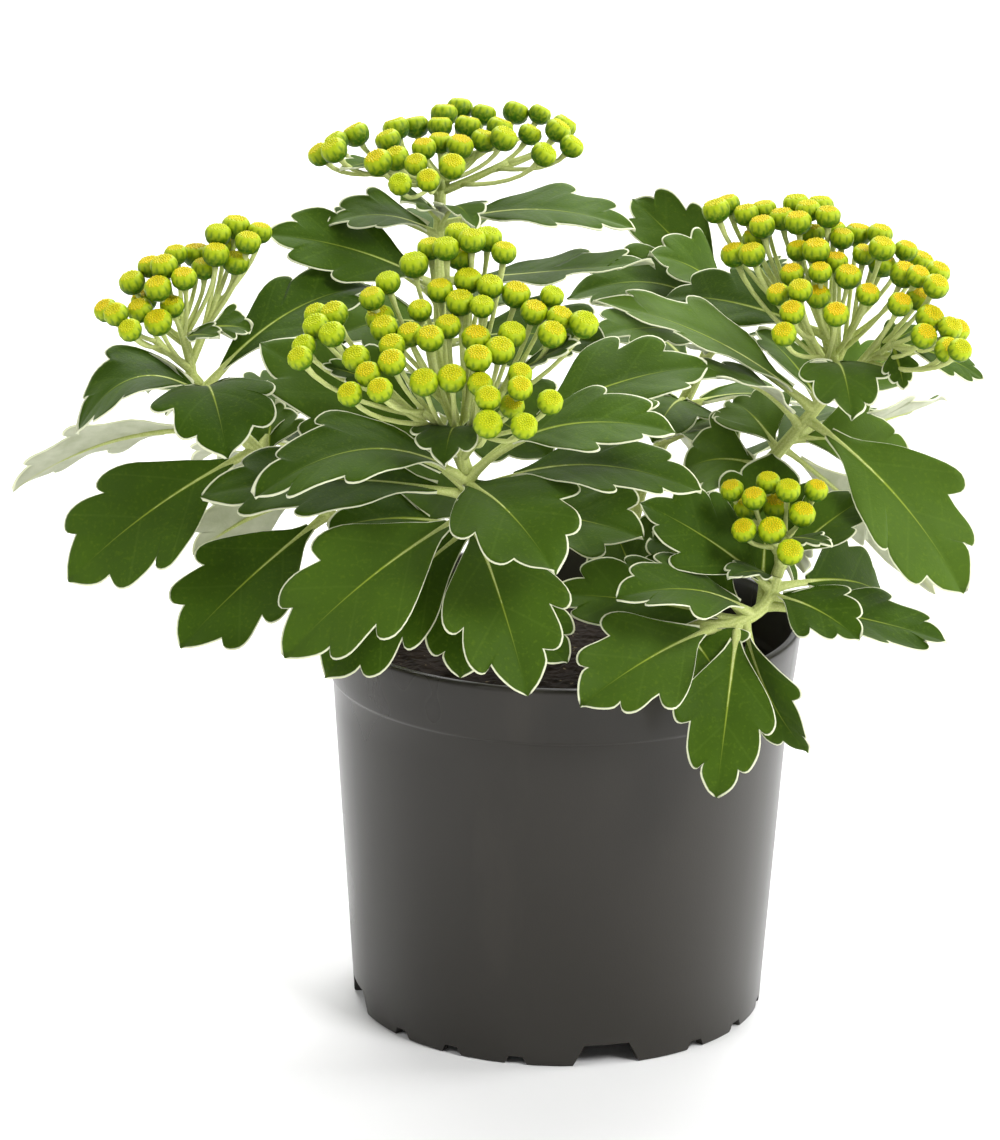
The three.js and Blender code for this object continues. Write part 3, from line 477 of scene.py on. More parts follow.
def lobed_edge(outline, length, half_width, reach, slide):
    """One edge of a blade as points [x, y]; each lobe reaches out and slides by its share."""
    last = len(outline) - 1
    edge = []
    for i, (x, y) in enumerate(outline):
        k = sum(i > at for at in NOTCHES)
        f = reach[k]
        s = slide[k] * min(1.0, x * 2) * (1 if i < last - 1 else 0)
        if i in NOTCHES:
            f = (reach[k] + reach[k + 1]) / 2
            s = (slide[k] + slide[k + 1]) / 2
        if k == LOBES - 1 or i < 2:
            f, s = 1.0, s * (0.4 if k == LOBES - 1 else 0)
        edge.append(np.array([(x + s) * length, y * f * half_width]))
    return edge


def outline_rows(outline, length, half_width, roll):
    """Both edges of a blade as rows of [x, y], with where each row leaves the midrib."""
    edges = []
    for _ in range(2):
        reach = [1 + 0.22 * (roll() - 0.5) for _ in range(LOBES)]
        slide = [0.05 * (roll() - 0.5) for _ in range(LOBES)]
        edges.append(lobed_edge(outline, length, half_width, reach, slide))
    origin = [np.array([x * length, y * half_width]) for x, y in outline]
    breaks = [0, *NOTCHES, len(outline) - 1]
    sampled = [[], []]
    centre = []
    for low, high in zip(breaks, breaks[1:]):
        count = (high - low) * OUTLINE_STEPS
        for j in range(0 if low == 0 else 1, count + 1):
            t = j / count
            for edge, out in zip(edges, sampled):
                out.append(along(edge[low:high + 1], t))
            x, y = along(origin[low:high + 1], t)
            centre.append(x - y * VEIN_SLANT)
    rib = np.maximum.accumulate(np.maximum(np.array(centre), 0.0))
    rib = np.minimum(rib, length)
    rib[-1] = length
    return rib, np.array(sampled[0]), np.array(sampled[1])


def leaf_frame(spec):
    """The arched middle line of a leaf, the way its top faces there, and its cross line."""
    root, tip = spec["root"], spec["tip"]
    chord = unit(tip - root)
    if "facing" in spec:
        face = spec["facing"]
    else:
        tilt = math.radians(spec["tilt"])
        face = -AHEAD * math.cos(tilt) + UPWARD * math.sin(tilt)
    face = unit(face - chord * np.dot(face, chord))
    face = turned_about(face, chord, math.radians(spec["roll"]))
    across = np.cross(chord, face)
    middle = (root + tip) / 2 + face * 2 * spec["arch"]

    def place(t):
        return bend(root, middle, tip, t)

    def normal(t):
        tangent = unit((middle - root) * (1 - t) + (tip - middle) * t)
        return unit(np.cross(across, tangent))

    return place, normal, across


class Blade:
    """The outline of one leaf's blade, and how its surface rises from the leaf's frame."""

    def __init__(self, width, length, roll):
        outline = LARGE_OUTLINE if width >= LARGE_WIDTH else SMALL_OUTLINE
        self.rib, self.right, self.left = outline_rows(outline, length, width / 2, roll)
        self.tips = [OUTLINE_STEPS * k for k in LOBE_TIPS]
        self.bends = [[3.0 * (roll() - 0.55) for _ in self.tips] for _ in range(2)]
        self.ripple = [ANY_TURN * roll() for _ in range(2)]
        self.curl = [1.5 * roll() - 0.4 for _ in range(2)]
        strides = np.linalg.norm(np.diff(self.right, axis=0), axis=1)
        self.arc = np.concatenate([[0], np.cumsum(strides)])
        self.thin = min(1.0, width / THIN_WIDTH)

    def row(self, i, w):
        """Where row i leaves the midrib and where it meets the rim, on the side of w."""
        bound = self.right[i] if w >= 0 else self.left[i] * [1, -1]
        return np.array([self.rib[i], 0.0]), bound

    def vein_gap(self, i, w):
        """The distance from the nearest side vein, which runs out to the tip of a lobe."""
        w = abs(w)
        return min(
            abs(self.arc[i] - self.arc[at]) * w + abs(self.rib[i] - self.rib[at]) * 0.7 * (1 - w)
            for at in self.tips)

    def rise(self, i, w, x, y, gap):
        half = 0 if w >= 0 else 1
        w = abs(w)
        lobe = sum(
            turn * math.exp(-((i - at) / 4.5) ** 2)
            for turn, at in zip(self.bends[half], self.tips))
        ripple = 0.5 * math.sin(x * 0.42 + self.ripple[half]) * w ** 2
        side_vein = 0.3 * math.exp(-(gap / 1.1) ** 2) * (1 - w) * min(1, 3 * w)
        midrib = 0.3 * math.exp(-y ** 2)
        return LEAF_FOLD * abs(y) + self.thin * (
            lobe * w ** 2.2 + ripple - side_vein - midrib + self.curl[half] * w ** 8)


def blade_surface(blade, length, share, place, normal, across):
    """Points on a blade's top, underside and rim, and what each field holds on its top."""
    top, bottom, rims = [], [], []
    marks = {field: [] for field in RIM_MARKS}
    for i in range(len(blade.rib)):
        for w in BLADE_LINES:
            root, bound = blade.row(i, w)
            x, y = root + (bound - root) * abs(w)
            t = share + (1 - share) * x / length
            up, gap = normal(t), blade.vein_gap(i, w)
            centre = place(t) + across * y + up * blade.rise(i, w, x, y, gap)
            thickness = BLADE if abs(w) < 0.95 else BLADE * RIM_BLADE
            top.append(centre + up * thickness / 2)
            bottom.append(centre - up * thickness / 2)
            if abs(w) == 1.0:
                rims.append(centre + across * np.sign(w) * RIM_BULGE)
            inwards = (1 - abs(w)) * np.linalg.norm(bound - root) * 0.8
            for field, mark in zip(marks, (inwards, abs(y), x / length, gap)):
                marks[field].append(mark)
    return top, bottom, rims, marks


def add_leaf(gather, spec, seed, green):
    roll = dice(seed)
    for _ in range(3):
        roll()
    place, normal, across = leaf_frame(spec)
    share = spec.get("stalk") or PETIOLE_SHARE
    length = np.linalg.norm(spec["tip"] - spec["root"]) * (1 - share)
    blade = Blade(spec["width"], length, roll)
    # The tone is partly random and partly a painted sheen that makes some stems' leaves paler
    tone = min(1.0, spec.get("pale", 0.0) + 0.45 * roll())
    top, bottom, rims, marks = blade_surface(blade, length, share, place, normal, across)
    values = {field: 2 * marks[field] + [mark] * len(rims) for field, mark in RIM_MARKS.items()}
    values["under"] = [0.0] * len(top) + [1.0] * len(top) + [0.5] * len(rims)
    faces = blade_faces(len(blade.rib), len(BLADE_LINES))
    gather.add(top + bottom + rims, faces, green, tone=tone, **values)
    add_petiole(gather, place, normal, share, blade.thin)


def blade_faces(rows, wide):
    """Faces over a blade's points: its top, its underside, then two a row on its rim."""
    base = rows * wide
    faces = []
    for i in range(rows - 1):
        for j in range(wide - 1):
            a, b = i * wide + j, i * wide + j + 1
            c, d = b + wide, a + wide
            faces.append((a, b, c, d))
            faces.append((base + a, base + d, base + c, base + b))
        for j, right in ((0, 0), (wide - 1, 1)):
            a, d = i * wide + j, (i + 1) * wide + j
            m, n = 2 * base + 2 * i + right, 2 * base + 2 * i + 2 + right
            walls = [(a, d, n, m), (m, n, base + d, base + a)]
            faces.extend([w[::-1] for w in walls] if right else walls)
    for row in (0, rows - 1):
        ends = []
        for j in range(wide - 1):
            a, b = row * wide + j, row * wide + j + 1
            ends.append((b, a, base + a, base + b))
        m, n = 2 * base + 2 * row, 2 * base + 2 * row + 1
        a, b = row * wide, row * wide + wide - 1
        ends += [(a, m, base + a), (b, base + b, n)]
        faces.extend([w[::-1] for w in ends] if row else ends)
    return faces


def add_petiole(gather, place, normal, share, thin):
    """The leaf's stalk, which runs on below the blade as its midrib."""
    stops = [0, 0.02, 0.045]
    stops += [MIDRIB_END * k / MIDRIB_STEPS for k in range(1, MIDRIB_STEPS + 1)]
    radii = []
    for t in stops:
        flare = 0.7 * thin * math.exp(-t / 0.05)
        radii.append(flare + max(0.16, PETIOLE_RADIUS * thin * (1 - t / 0.9) ** 0.8))
    path = [
        place(t) - normal(t) * (BLADE / 2 + 0.55 * r * min(1.0, max(0.0, (t - share * 0.5) * 6)))
        for t, r in zip(stops, radii)]
    gather.add_ribbed(path, radii, PETIOLE_SIDES)


def hidden_leaves(free, count, low, high, turn, spread, length, seed):
    """Leaves spiralling up the side of a stem that faces away, spread about one direction."""
    roll = dice(seed)
    found = []
    for i in range(count):
        swing = (i * GOLDEN % 1) * 2 - 1
        heading = math.radians(turn + spread * swing)
        rise = math.radians(48 * i / count + 12 * roll() - 30)
        out = np.array([math.cos(heading), math.sin(heading), 0.0])
        reach = length * (0.85 + 0.3 * roll())
        root = along(free, low + (high - low) * (i + 0.5) / count)
        tip = root + out * reach * math.cos(rise) + UP * reach * math.sin(rise)
        width = length * (0.5 + 0.06 * roll())
        found.append({
            "root": root, "tip": tip, "facing": out * 0.35 + UP * 0.9, "width": width,
            "roll": 30 * (roll() - 0.5), "arch": 6})
    return found


# Stems

def stem_path(stem):
    x, y = stem["foot"]
    low = np.array([x, y, MIX_TOP - ROOT_DEPTH], dtype=float)
    high = np.array([x, y, MIX_TOP + 4], dtype=float)
    return [low, high] + [seen(p) for p in stem["path"]]


def leaves_of(stem):
    free = stem_path(stem)[1:]
    shown = []
    for row in stem["leaves"]:
        at, across, up, depth, width, tilt, roll, arch = row[:8]
        shown.append({
            "root": along(free, at), "tip": seen((across, up, depth)), "width": width,
            "tilt": tilt, "roll": roll, "arch": arch, "stalk": row[8] if len(row) > 8 else None,
            "pale": PAINTED_SHEEN_STEMS.get(stem["name"], 0.0)})
    return shown + (hidden_leaves(free, *stem["behind"]) if "behind" in stem else [])


def leafy_stem(number, stem, materials):
    path = stem_path(stem)
    line = [path[0]] + [along(path[1:], t) for t in steps_to_one(STEM_STEPS)]
    taper = STEM_TIP_RADIUS - STEM_RADIUS
    radii = [STEM_RADIUS + taper * t for t in steps_to_one(STEM_STEPS + 1)]
    gather = Gather()
    gather.add_ribbed(line, radii, STEM_SIDES, RIBBING)
    for k, spec in enumerate(leaves_of(stem)):
        add_leaf(gather, spec, 1000 + 97 * number + 13 * k, STEM_GREEN)
    gather.build(stem["name"], materials)


# Flower heads

def clear_of(placed, across, up, depth):
    """The nearest place on a bud's sight line that is clear of the buds already placed."""
    step = 0
    while True:
        offset = (1 if step % 2 else -1) * math.ceil(step / 2) * BUD_STEP
        place = seen((across, up, depth + offset))
        if all(np.linalg.norm(other - place) > BUD_SPACING for other in placed):
            return place
        step += 1


def forks(low, high, branches):
    """Gives each branch its start along a bar; those that swing out furthest leave lowest."""
    ahead = unit(high - low)

    def swing(branch):
        return -np.dot(unit(branch["end"] - high), ahead)

    ordered = sorted(branches, key=swing)
    return [
        {**branch, "start": high + (low - high) * (FORK_START + FORK_SHARE * i / len(ordered))}
        for i, branch in enumerate(ordered)]


def head_layout(head):
    path = stem_path(STEMS[head["stem"]])
    top = path[-1]
    ahead = unit(top - along(path[1:], 0.97))
    foot = top + ahead * HEAD_GAP
    hub = foot + ahead * HUB_LENGTH
    _, middle_up, middle_depth = head["middle"]
    centres = []
    for across, up in head["buds"]:
        depth = middle_depth + head["slope"] * (up - middle_up)
        centres.append(clear_of(centres, across, up, depth))
    seeds = centres[::BUDS_PER_RAY]
    groups = [[] for _ in seeds]
    for centre in centres:
        nearest = min(range(len(seeds)), key=lambda i: np.linalg.norm(seeds[i] - centre))
        groups[nearest].append(centre)
    crown = np.mean(centres, axis=0)
    crown = crown + (hub - crown) * (1 - AXIS_SHARE)
    ends = []
    for buds in groups:
        middle = np.mean(buds, axis=0)
        ends.append({"end": middle + (hub - middle) * RAY_SHARE, "buds": buds})
    return foot, hub, crown, forks(hub, crown, ends)


def nearest_on(bars, wanted):
    places = []
    for low, high in bars:
        reach = high - low
        t = np.clip(np.dot(wanted - low, reach) / np.dot(reach, reach), 0, 1)
        places.append(low + reach * t)
    return min(places, key=lambda p: np.linalg.norm(p - wanted))


def bud_template():
    """A button of florets above its bracts, radius 1, with +Z through its top."""
    points, height, streak = [], [], []
    for row, (z, radius) in enumerate(BUD_PROFILE):
        for k in range(BUD_SIDES):
            angle = 2 * math.pi * k / BUD_SIDES
            ridge = math.cos(BRACTS * angle + (math.pi if 2 < row < 5 else 0))
            size = radius * (1 + (0.025 * ridge if z < 0.4 else 0))
            points.append((size * math.cos(angle), size * math.sin(angle), z))
            height.append(z)
            streak.append(max(0.0, -ridge))
    faces = ring_faces(len(BUD_PROFILE), BUD_SIDES)
    for k in range(FLORETS):
        share = math.sqrt((k + 0.5) / FLORETS)
        add_floret(points, faces, height, BUTTON_REACH * share, 2 * math.pi * GOLDEN * k)
    streak += [0.0] * (len(points) - len(streak))
    return np.array(points), faces, np.array(height), np.array(streak)


def add_floret(points, faces, height, reach, turn):
    """One unopened floret: a small closed dome standing out of the button."""
    z = float(np.interp(reach, BUTTON_REACHES, BUTTON_HEIGHTS))
    out = np.array([math.cos(turn), math.sin(turn), 0.0])
    axis = unit(out * (0.15 + 2.2 * max(0.0, reach - BUTTON_SHOULDER)) + UP)
    side = unit(np.cross(UP, out))
    other = np.cross(axis, side)
    middle = out * reach + UP * z
    first = len(points)
    for rise, scale in ((-0.06, 1.0), (0.03, 0.88)):
        for k in range(FLORET_SIDES):
            angle = 2 * math.pi * k / FLORET_SIDES
            spoke = side * math.cos(angle) + other * math.sin(angle)
            points.append(tuple(middle + axis * rise + spoke * FLORET_RADIUS * scale))
            height.append(1.0)
    points.append(tuple(middle + axis * 0.075))
    height.append(1.2)
    upper, tip = first + FLORET_SIDES, first + 2 * FLORET_SIDES
    for k in range(FLORET_SIDES):
        n = (k + 1) % FLORET_SIDES
        faces.append((first + k, first + n, upper + n, upper + k))
        faces.append((upper + k, upper + n, tip))
    faces.append(tuple(first + k for k in range(FLORET_SIDES - 1, -1, -1)))


BUD_POINTS, BUD_FACES, BUD_HEIGHT, BUD_STREAK = bud_template()


def add_bud(gather, start, centre, axis, radius, ripe, turn):
    axis = unit(axis)
    side = turned_about(square_to(axis), axis, turn)
    basis = np.array([side, np.cross(axis, side), axis])
    points = BUD_POINTS @ basis * radius + centre
    gather.add(points, BUD_FACES, BUD, along=BUD_HEIGHT, side=BUD_STREAK, tone=ripe)
    neck = centre - axis * radius * 0.85
    control = neck - axis * np.linalg.norm(neck - start) * 0.35
    stops = steps_to_one(STALK_STEPS)
    path = [bend(start, control, neck, t) for t in stops]
    radii = [STALK_RADIUS * (1.15 - 0.3 * t + 0.75 * t ** 6) for t in stops]
    gather.add(*tube(path, radii, STALK_SIDES), FELT)


def add_ray(gather, ray, lean):
    start, end = ray["start"], ray["end"]
    middle = (start + end) / 2 - lean * RAY_BOW * np.linalg.norm(end - start)
    path = [bend(start, middle, end, t) for t in steps_to_one(RAY_STEPS)]
    taper = RAY_TIP_RADIUS - RAY_RADIUS
    radii = [RAY_RADIUS + taper * k / RAY_STEPS for k in range(RAY_STEPS + 1)]
    gather.add_ribbed(path, radii, RAY_SIDES, RIBBING)


def flower_head(number, head, materials):
    foot, hub, crown, rays = head_layout(head)
    lean = unit(np.array(head["lean"], dtype=float))
    roll = dice(101 + head["stem"])
    ripeness = RIPE_HEADS.get(head["name"], 0.0)
    gather = Gather()
    radii = [STEM_TIP_RADIUS, STEM_TIP_RADIUS, 1.35, RAY_RADIUS]
    gather.add_ribbed([foot, hub, (hub + crown) / 2, crown], radii, STEM_SIDES, RIBBING)
    for ray in rays:
        add_ray(gather, ray, lean)
        buds = [{"end": centre} for centre in ray["buds"]]
        for stalk in forks(ray["start"], ray["end"], buds):
            axis = unit(stalk["end"] - hub) * 0.6 + lean * 0.5
            radius = BUD_RADIUS * (0.9 + 0.2 * roll())
            outward = np.linalg.norm(stalk["end"] - crown) / 55
            ripe = float(np.clip(0.85 + ripeness - outward + 0.5 * (roll() - 0.5), 0, 1))
            turn = ANY_TURN * roll()
            add_bud(gather, stalk["start"], stalk["end"], axis, radius, ripe, turn)
    bars = [(hub, crown)] + [(ray["start"], ray["end"]) for ray in rays]
    for k, row in enumerate(head["leaves"]):
        spec = {
            "root": nearest_on(bars, seen(row[:3])), "tip": seen(row[3:6]), "width": row[6],
            "tilt": row[7], "roll": 0, "arch": row[8]}
        add_leaf(gather, spec, 5000 + 97 * number + 13 * k, HEAD_GREEN)
    gather.build(head["name"], materials)


# Pot and potting mix

def lathe(profile, sides):
    """A surface of revolution from rows of [radius, height]; radius 0 closes it."""
    points, faces = [], []
    rows = []
    for radius, height in profile:
        rows.append((len(points), radius > 0))
        if radius == 0:
            points.append((0.0, 0.0, height))
            continue
        for k in range(sides):
            angle = 2 * math.pi * k / sides
            points.append((radius * math.cos(angle), radius * math.sin(angle), height))
    for (low, low_ring), (high, high_ring) in zip(rows, rows[1:]):
        for k in range(sides):
            n = (k + 1) % sides
            if low_ring and high_ring:
                faces.append((low + k, low + n, high + n, high + k))
            elif high_ring:
                faces.append((low, high + n, high + k))
            else:
                faces.append((low + k, low + n, high))
    return points, faces


def finish_surface(piece, material):
    piece.data.materials.clear()
    piece.data.materials.append(material)
    for face in piece.data.polygons:
        face.use_smooth = True


def foot_notch(angle, arcs, height):
    """A block that cuts through the foot ring."""
    inner, outer, mouth = BASE_RADIUS - 6, BASE_RADIUS + 4, -1
    points = []
    for arc, z in zip(arcs, (mouth, height)):
        for radius, side in ((inner, -1), (outer, -1), (outer, 1), (inner, 1)):
            turn = math.radians(angle + side * arc * 0.5)
            points.append((radius * math.sin(turn), -radius * math.cos(turn), z))
    faces = [(0, 3, 2, 1), (4, 5, 6, 7)]
    for k in range(4):
        n = (k + 1) % 4
        faces.append((k, n, 4 + n, 4 + k))
    return points, faces


def pot_cutters():
    points, faces = [], []

    def add(more, sides):
        first = len(points)
        points.extend(more)
        faces.extend([tuple(first + v for v in face) for face in sides])

    for k in range(NOTCH_COUNT):
        angle = NOTCH_TURN + 360 / NOTCH_COUNT * k
        add(*foot_notch(angle, NOTCH_ARCS, NOTCH_HEIGHT))
        for turn in SHALLOW_TURNS:
            add(*foot_notch(angle + turn, SHALLOW_ARCS, SHALLOW_HEIGHT))
    for k in range(DRAIN_COUNT):
        angle = 2 * math.pi * k / DRAIN_COUNT
        x, y = DRAIN_RING * math.cos(angle), DRAIN_RING * math.sin(angle)
        ends = [(x, y, FLOOR_UNDERSIDE - 1), (x, y, FLOOR_TOP + 1)]
        add(*tube(ends, [DRAIN_RADIUS, DRAIN_RADIUS], DRAIN_SIDES))
    return points, faces


def cut(piece, cutter):
    modifier = piece.modifiers.new("cut", "BOOLEAN")
    modifier.operation = "DIFFERENCE"
    modifier.solver = "EXACT"
    modifier.object = cutter
    graph = bpy.context.evaluated_depsgraph_get()
    mesh = bpy.data.meshes.new_from_object(piece.evaluated_get(graph))
    piece.modifiers.clear()
    piece.data = mesh
    bpy.data.objects.remove(cutter)


def wall_inside(z):
    """The wall's inner radius at a height."""
    return BASE_RADIUS - WALL + (BODY_TOP_RADIUS - BASE_RADIUS) * z / COLLAR_FOOT


def pot_profile():
    """The pot's section: underside, foot, wall, collar and rim, then down the inside."""
    foot_inside = BASE_RADIUS - FOOT_WIDTH
    profile = [
        (0, FLOOR_UNDERSIDE), (foot_inside - 0.4, FLOOR_UNDERSIDE),
        (foot_inside, FLOOR_UNDERSIDE - 0.4), (foot_inside, 0.3), (foot_inside + 0.3, 0),
        (BASE_RADIUS - 0.5, 0), (BASE_RADIUS - 0.1, 0.2), (BASE_RADIUS + 0.05, 0.7)]
    wall_rows, collar_rows = 12, 4
    for k in range(1, wall_rows):
        share = k / wall_rows
        radius = BASE_RADIUS + (BODY_TOP_RADIUS - 0.3 - BASE_RADIUS) * share
        profile.append((radius, (COLLAR_FOOT - 1.2) * share))
    profile += [
        (BODY_TOP_RADIUS - 0.3, COLLAR_FOOT - 1.2), (BODY_TOP_RADIUS - 0.1, COLLAR_FOOT - 0.7),
        (COLLAR_RADIUS - 0.15, COLLAR_FOOT - 0.35), (COLLAR_RADIUS, COLLAR_FOOT + 0.2)]
    for k in range(1, collar_rows):
        share = k / collar_rows
        profile.append((
            COLLAR_RADIUS + (RIM_RADIUS - COLLAR_RADIUS) * share,
            COLLAR_FOOT + (RIM_TOP - 1.2 - COLLAR_FOOT) * share))
    lip_inside, collar_inside = RIM_RADIUS - LIP, COLLAR_RADIUS - WALL
    return profile + [
        (RIM_RADIUS, RIM_TOP - 1.3), (RIM_RADIUS - 0.08, RIM_TOP - 0.7),
        (RIM_RADIUS - 0.35, RIM_TOP - 0.2), (RIM_RADIUS - 0.8, RIM_TOP),
        (lip_inside + 0.3, RIM_TOP), (lip_inside - 0.1, RIM_TOP - 0.25),
        (lip_inside - 0.3, RIM_TOP - 0.8), (lip_inside - 0.8, RIM_TOP - 2),
        (collar_inside - 0.6, COLLAR_FOOT + 0.6), (collar_inside - 0.8, COLLAR_FOOT),
        (wall_inside(COLLAR_FOOT) - 0.8, COLLAR_FOOT - 0.8),
        (wall_inside(COLLAR_FOOT) - 1, COLLAR_FOOT - 1.6),
        (wall_inside(FLOOR_TOP) + 0.1, FLOOR_TOP + 0.8), (wall_inside(FLOOR_TOP) - 0.8, FLOOR_TOP),
        (0, FLOOR_TOP)]


def pot(material):
    piece = mesh_object("pot_moulding", *lathe(pot_profile(), POT_SIDES))
    cut(piece, mesh_object("pot_cutter", *pot_cutters()))
    piece.data.transform(Matrix.Translation(Vector(SHIFT * MM)))
    finish_surface(piece, material)
    piece.data.set_sharp_from_angle(angle=math.radians(SHARP_EDGE))
    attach(piece, "root")
    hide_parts("pot")


def crumbled(x, y, z):
    lump = 0.9 * noise.noise(Vector((x * 0.09, y * 0.09, 3.0)))
    grain = 1.1 * noise.voronoi(Vector((x * 0.5, y * 0.5, 7.0)))[0][0]
    crumb = 0.35 * noise.noise(Vector((x * 0.9, y * 0.9, 1.0)))
    return min(MIX_TOP + MIX_PEAK, z + lump + 0.55 - grain + crumb)


def potting_mix(material):
    def reach(z):
        return wall_inside(z) - 1 - MIX_GAP

    profile = [(0, FLOOR_TOP + MIX_GAP), (reach(FLOOR_TOP), FLOOR_TOP + MIX_GAP)]
    profile.append((reach(MIX_TOP - 5), MIX_TOP - 4.5))
    top_radius = reach(MIX_TOP - 5) - 0.6
    for k in range(MIX_RINGS):
        share = 1 - k / MIX_RINGS
        profile.append((top_radius * share, MIX_TOP - 2.6 * share ** 8))
    profile.append((0, MIX_TOP))
    points, faces = lathe(profile, MIX_SIDES)
    points = np.array(points)
    for i, (x, y, z) in enumerate(points):
        if z >= MIX_TOP - 4:
            points[i, 2] = crumbled(x, y, z)
    piece = mesh_object("potting_mix_crumb", points + SHIFT, faces)
    finish_surface(piece, material)
    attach(piece, "root")
    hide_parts("potting_mix")


# Materials

def colour(text):
    """A linear colour from the six hex digits of its screen colour."""
    out = []
    for k in (0, 2, 4):
        c = int(text[k:k + 2], 16) / 255
        out.append(c / 12.92 if c <= 0.04045 else ((c + 0.055) / 1.055) ** 2.4)
    return (*out, 1.0)


def grey(level):
    return (level, level, level, 1.0)


class Graph:
    """A material's node tree around one principled shader."""

    def __init__(self, name):
        self.material = bpy.data.materials.new(name)
        self.material.use_nodes = True
        self.tree = self.material.node_tree
        self.tree.nodes.clear()
        self.shader = self.node("ShaderNodeBsdfPrincipled")
        output = self.node("ShaderNodeOutputMaterial")
        self.tree.links.new(self.shader.outputs[0], output.inputs[0])
        self.place = self.node("ShaderNodeTexCoord").outputs["Object"]

    def node(self, kind):
        return self.tree.nodes.new(kind)

    def put(self, socket, value):
        if isinstance(value, bpy.types.NodeSocket):
            self.tree.links.new(value, socket)
        else:
            socket.default_value = colour(value) if isinstance(value, str) else value

    def number(self, field):
        node = self.node("ShaderNodeAttribute")
        node.attribute_name = field
        return node.outputs["Fac"]

    def noise(self, scale, detail=3.0, stretch=None):
        node = self.node("ShaderNodeTexNoise")
        node.inputs["Scale"].default_value = scale
        node.inputs["Detail"].default_value = detail
        place = self.place
        if stretch:
            mapping = self.node("ShaderNodeMapping")
            mapping.inputs["Scale"].default_value = stretch
            self.put(mapping.inputs["Vector"], place)
            place = mapping.outputs[0]
        self.put(node.inputs["Vector"], place)
        return node.outputs["Fac"]

    def cells(self, scale):
        node = self.node("ShaderNodeTexVoronoi")
        node.inputs["Scale"].default_value = scale
        self.put(node.inputs["Vector"], self.place)
        return node.outputs["Distance"]

    def math(self, operation, a, b):
        node = self.node("ShaderNodeMath")
        node.operation = operation
        self.put(node.inputs[0], a)
        self.put(node.inputs[1], b)
        return node.outputs[0]

    def times(self, a, b):
        return self.math("MULTIPLY", a, b)

    def band(self, value, low, high, out_low=0.0, out_high=1.0):
        node = self.node("ShaderNodeMapRange")
        node.interpolation_type = "SMOOTHSTEP"
        self.put(node.inputs["Value"], value)
        ends = (("From Min", low), ("From Max", high), ("To Min", out_low), ("To Max", out_high))
        for name, end in ends:
            self.put(node.inputs[name], end)
        return node.outputs["Result"]

    def mix(self, factor, a, b):
        node = self.node("ShaderNodeMix")
        node.data_type = "RGBA"
        self.put(node.inputs[0], factor)
        self.put(node.inputs[6], a)
        self.put(node.inputs[7], b)
        return node.outputs[2]

    def bump(self, height, distance, strength):
        node = self.node("ShaderNodeBump")
        node.inputs["Strength"].default_value = strength
        node.inputs["Distance"].default_value = distance
        self.put(node.inputs["Height"], height)
        self.put(self.shader.inputs["Normal"], node.outputs[0])

    def set(self, **values):
        for name, value in values.items():
            self.put(self.shader.inputs[name.replace("_", " ")], value)


def leaf_material():
    g = Graph("leaf_green")
    fine = g.noise(1100, 3)
    shade = g.mix(g.noise(55, 4), "1f3504", "3e5a08")
    # Paler by the tone: partly a random tone, partly a painted sheen on some stems' leaves
    shade = g.mix(g.times(g.number("tone"), 0.55), shade, "5f7b2c")
    shade = g.mix(g.band(fine, 0.5, 0.8, 0, 0.2), shade, "718a22")
    vein = g.band(g.number("vein"), 0.1, 0.5, 0.08, 0.0)
    shade = g.mix(vein, shade, "6d8832")
    side = g.number("side")
    reach = g.math("SUBTRACT", 0.62, g.number("along"))
    rib = g.band(g.math("SUBTRACT", side, g.times(reach, 0.7)), -0.1, 0.25, 0.75, 0.0)
    shade = g.mix(rib, shade, "9aab3a")
    silver = g.mix(g.noise(260, 3), "9aa080", "c9ccb6")
    silver = g.mix(g.band(side, 0.3, 0.8, 0.4, 0), silver, "b3b97e")
    under = g.band(g.number("under"), 0.3, 0.7)
    shade = g.mix(under, shade, silver)
    ragged = g.math("ADD", g.number("edge"), g.times(g.noise(500, 2), 0.14))
    margin = g.band(ragged, 0.26, 0.42, 1.0, 0.0)
    shade = g.mix(margin, shade, "dcdfbe")
    g.set(Base_Color=shade, Roughness=g.band(fine, 0.3, 0.7, 0.46, 0.6))
    g.set(Specular_IOR_Level=0.05, Sheen_Weight=0.1, Sheen_Roughness=0.5)
    g.set(Sheen_Tint=(0.85, 0.9, 0.7, 1.0))
    height = g.math("ADD", g.times(g.noise(2200, 2), 0.4), g.times(fine, 0.7))
    g.bump(height, 0.00012, 0.6)
    return g.material


def felt_material():
    g = Graph("pale_felt")
    hair = g.noise(2600, 3)
    shade = g.mix(g.noise(160, 3), "b0bb64", "c6ce84")
    shade = g.mix(g.times(g.number("vein"), 0.5), shade, "87983c")
    shade = g.mix(g.band(hair, 0.4, 0.75, 0, 0.5), shade, "d8dda6")
    g.set(Base_Color=shade, Roughness=0.75, Specular_IOR_Level=0.3)
    g.bump(hair, 0.00012, 0.5)
    return g.material


def bud_material():
    g = Graph("bud_yellow")
    height = g.number("along")
    speckle = g.noise(1300, 2)
    disc = g.mix(g.number("tone"), "bdcb04", "f3be03")
    # Button and floret feet darker than the floret tips: painted shade between the florets
    disc = g.mix(g.band(height, 1.0, 1.2, 0.3, 0.0), disc, "a9b402")
    # Sides dark green at the neck, lime at the top: partly the bracts' own green, partly painted
    # shade under the bud
    side = g.mix(g.band(height, -0.45, 0.5), "2c5704", "a0b503")
    side = g.mix(g.band(speckle, 0.4, 0.65, 0, 0.2), side, "c9d52c")
    streak = g.times(g.number("side"), g.band(height, 0.2, 0.56, 0.75, 0.0))
    side = g.mix(streak, side, "3b6a05")
    shade = g.mix(g.band(height, 0.5, 0.8), side, disc)
    g.set(Base_Color=shade, Roughness=0.5, Specular_IOR_Level=0.22)
    g.bump(speckle, 0.00012, 0.5)
    return g.material


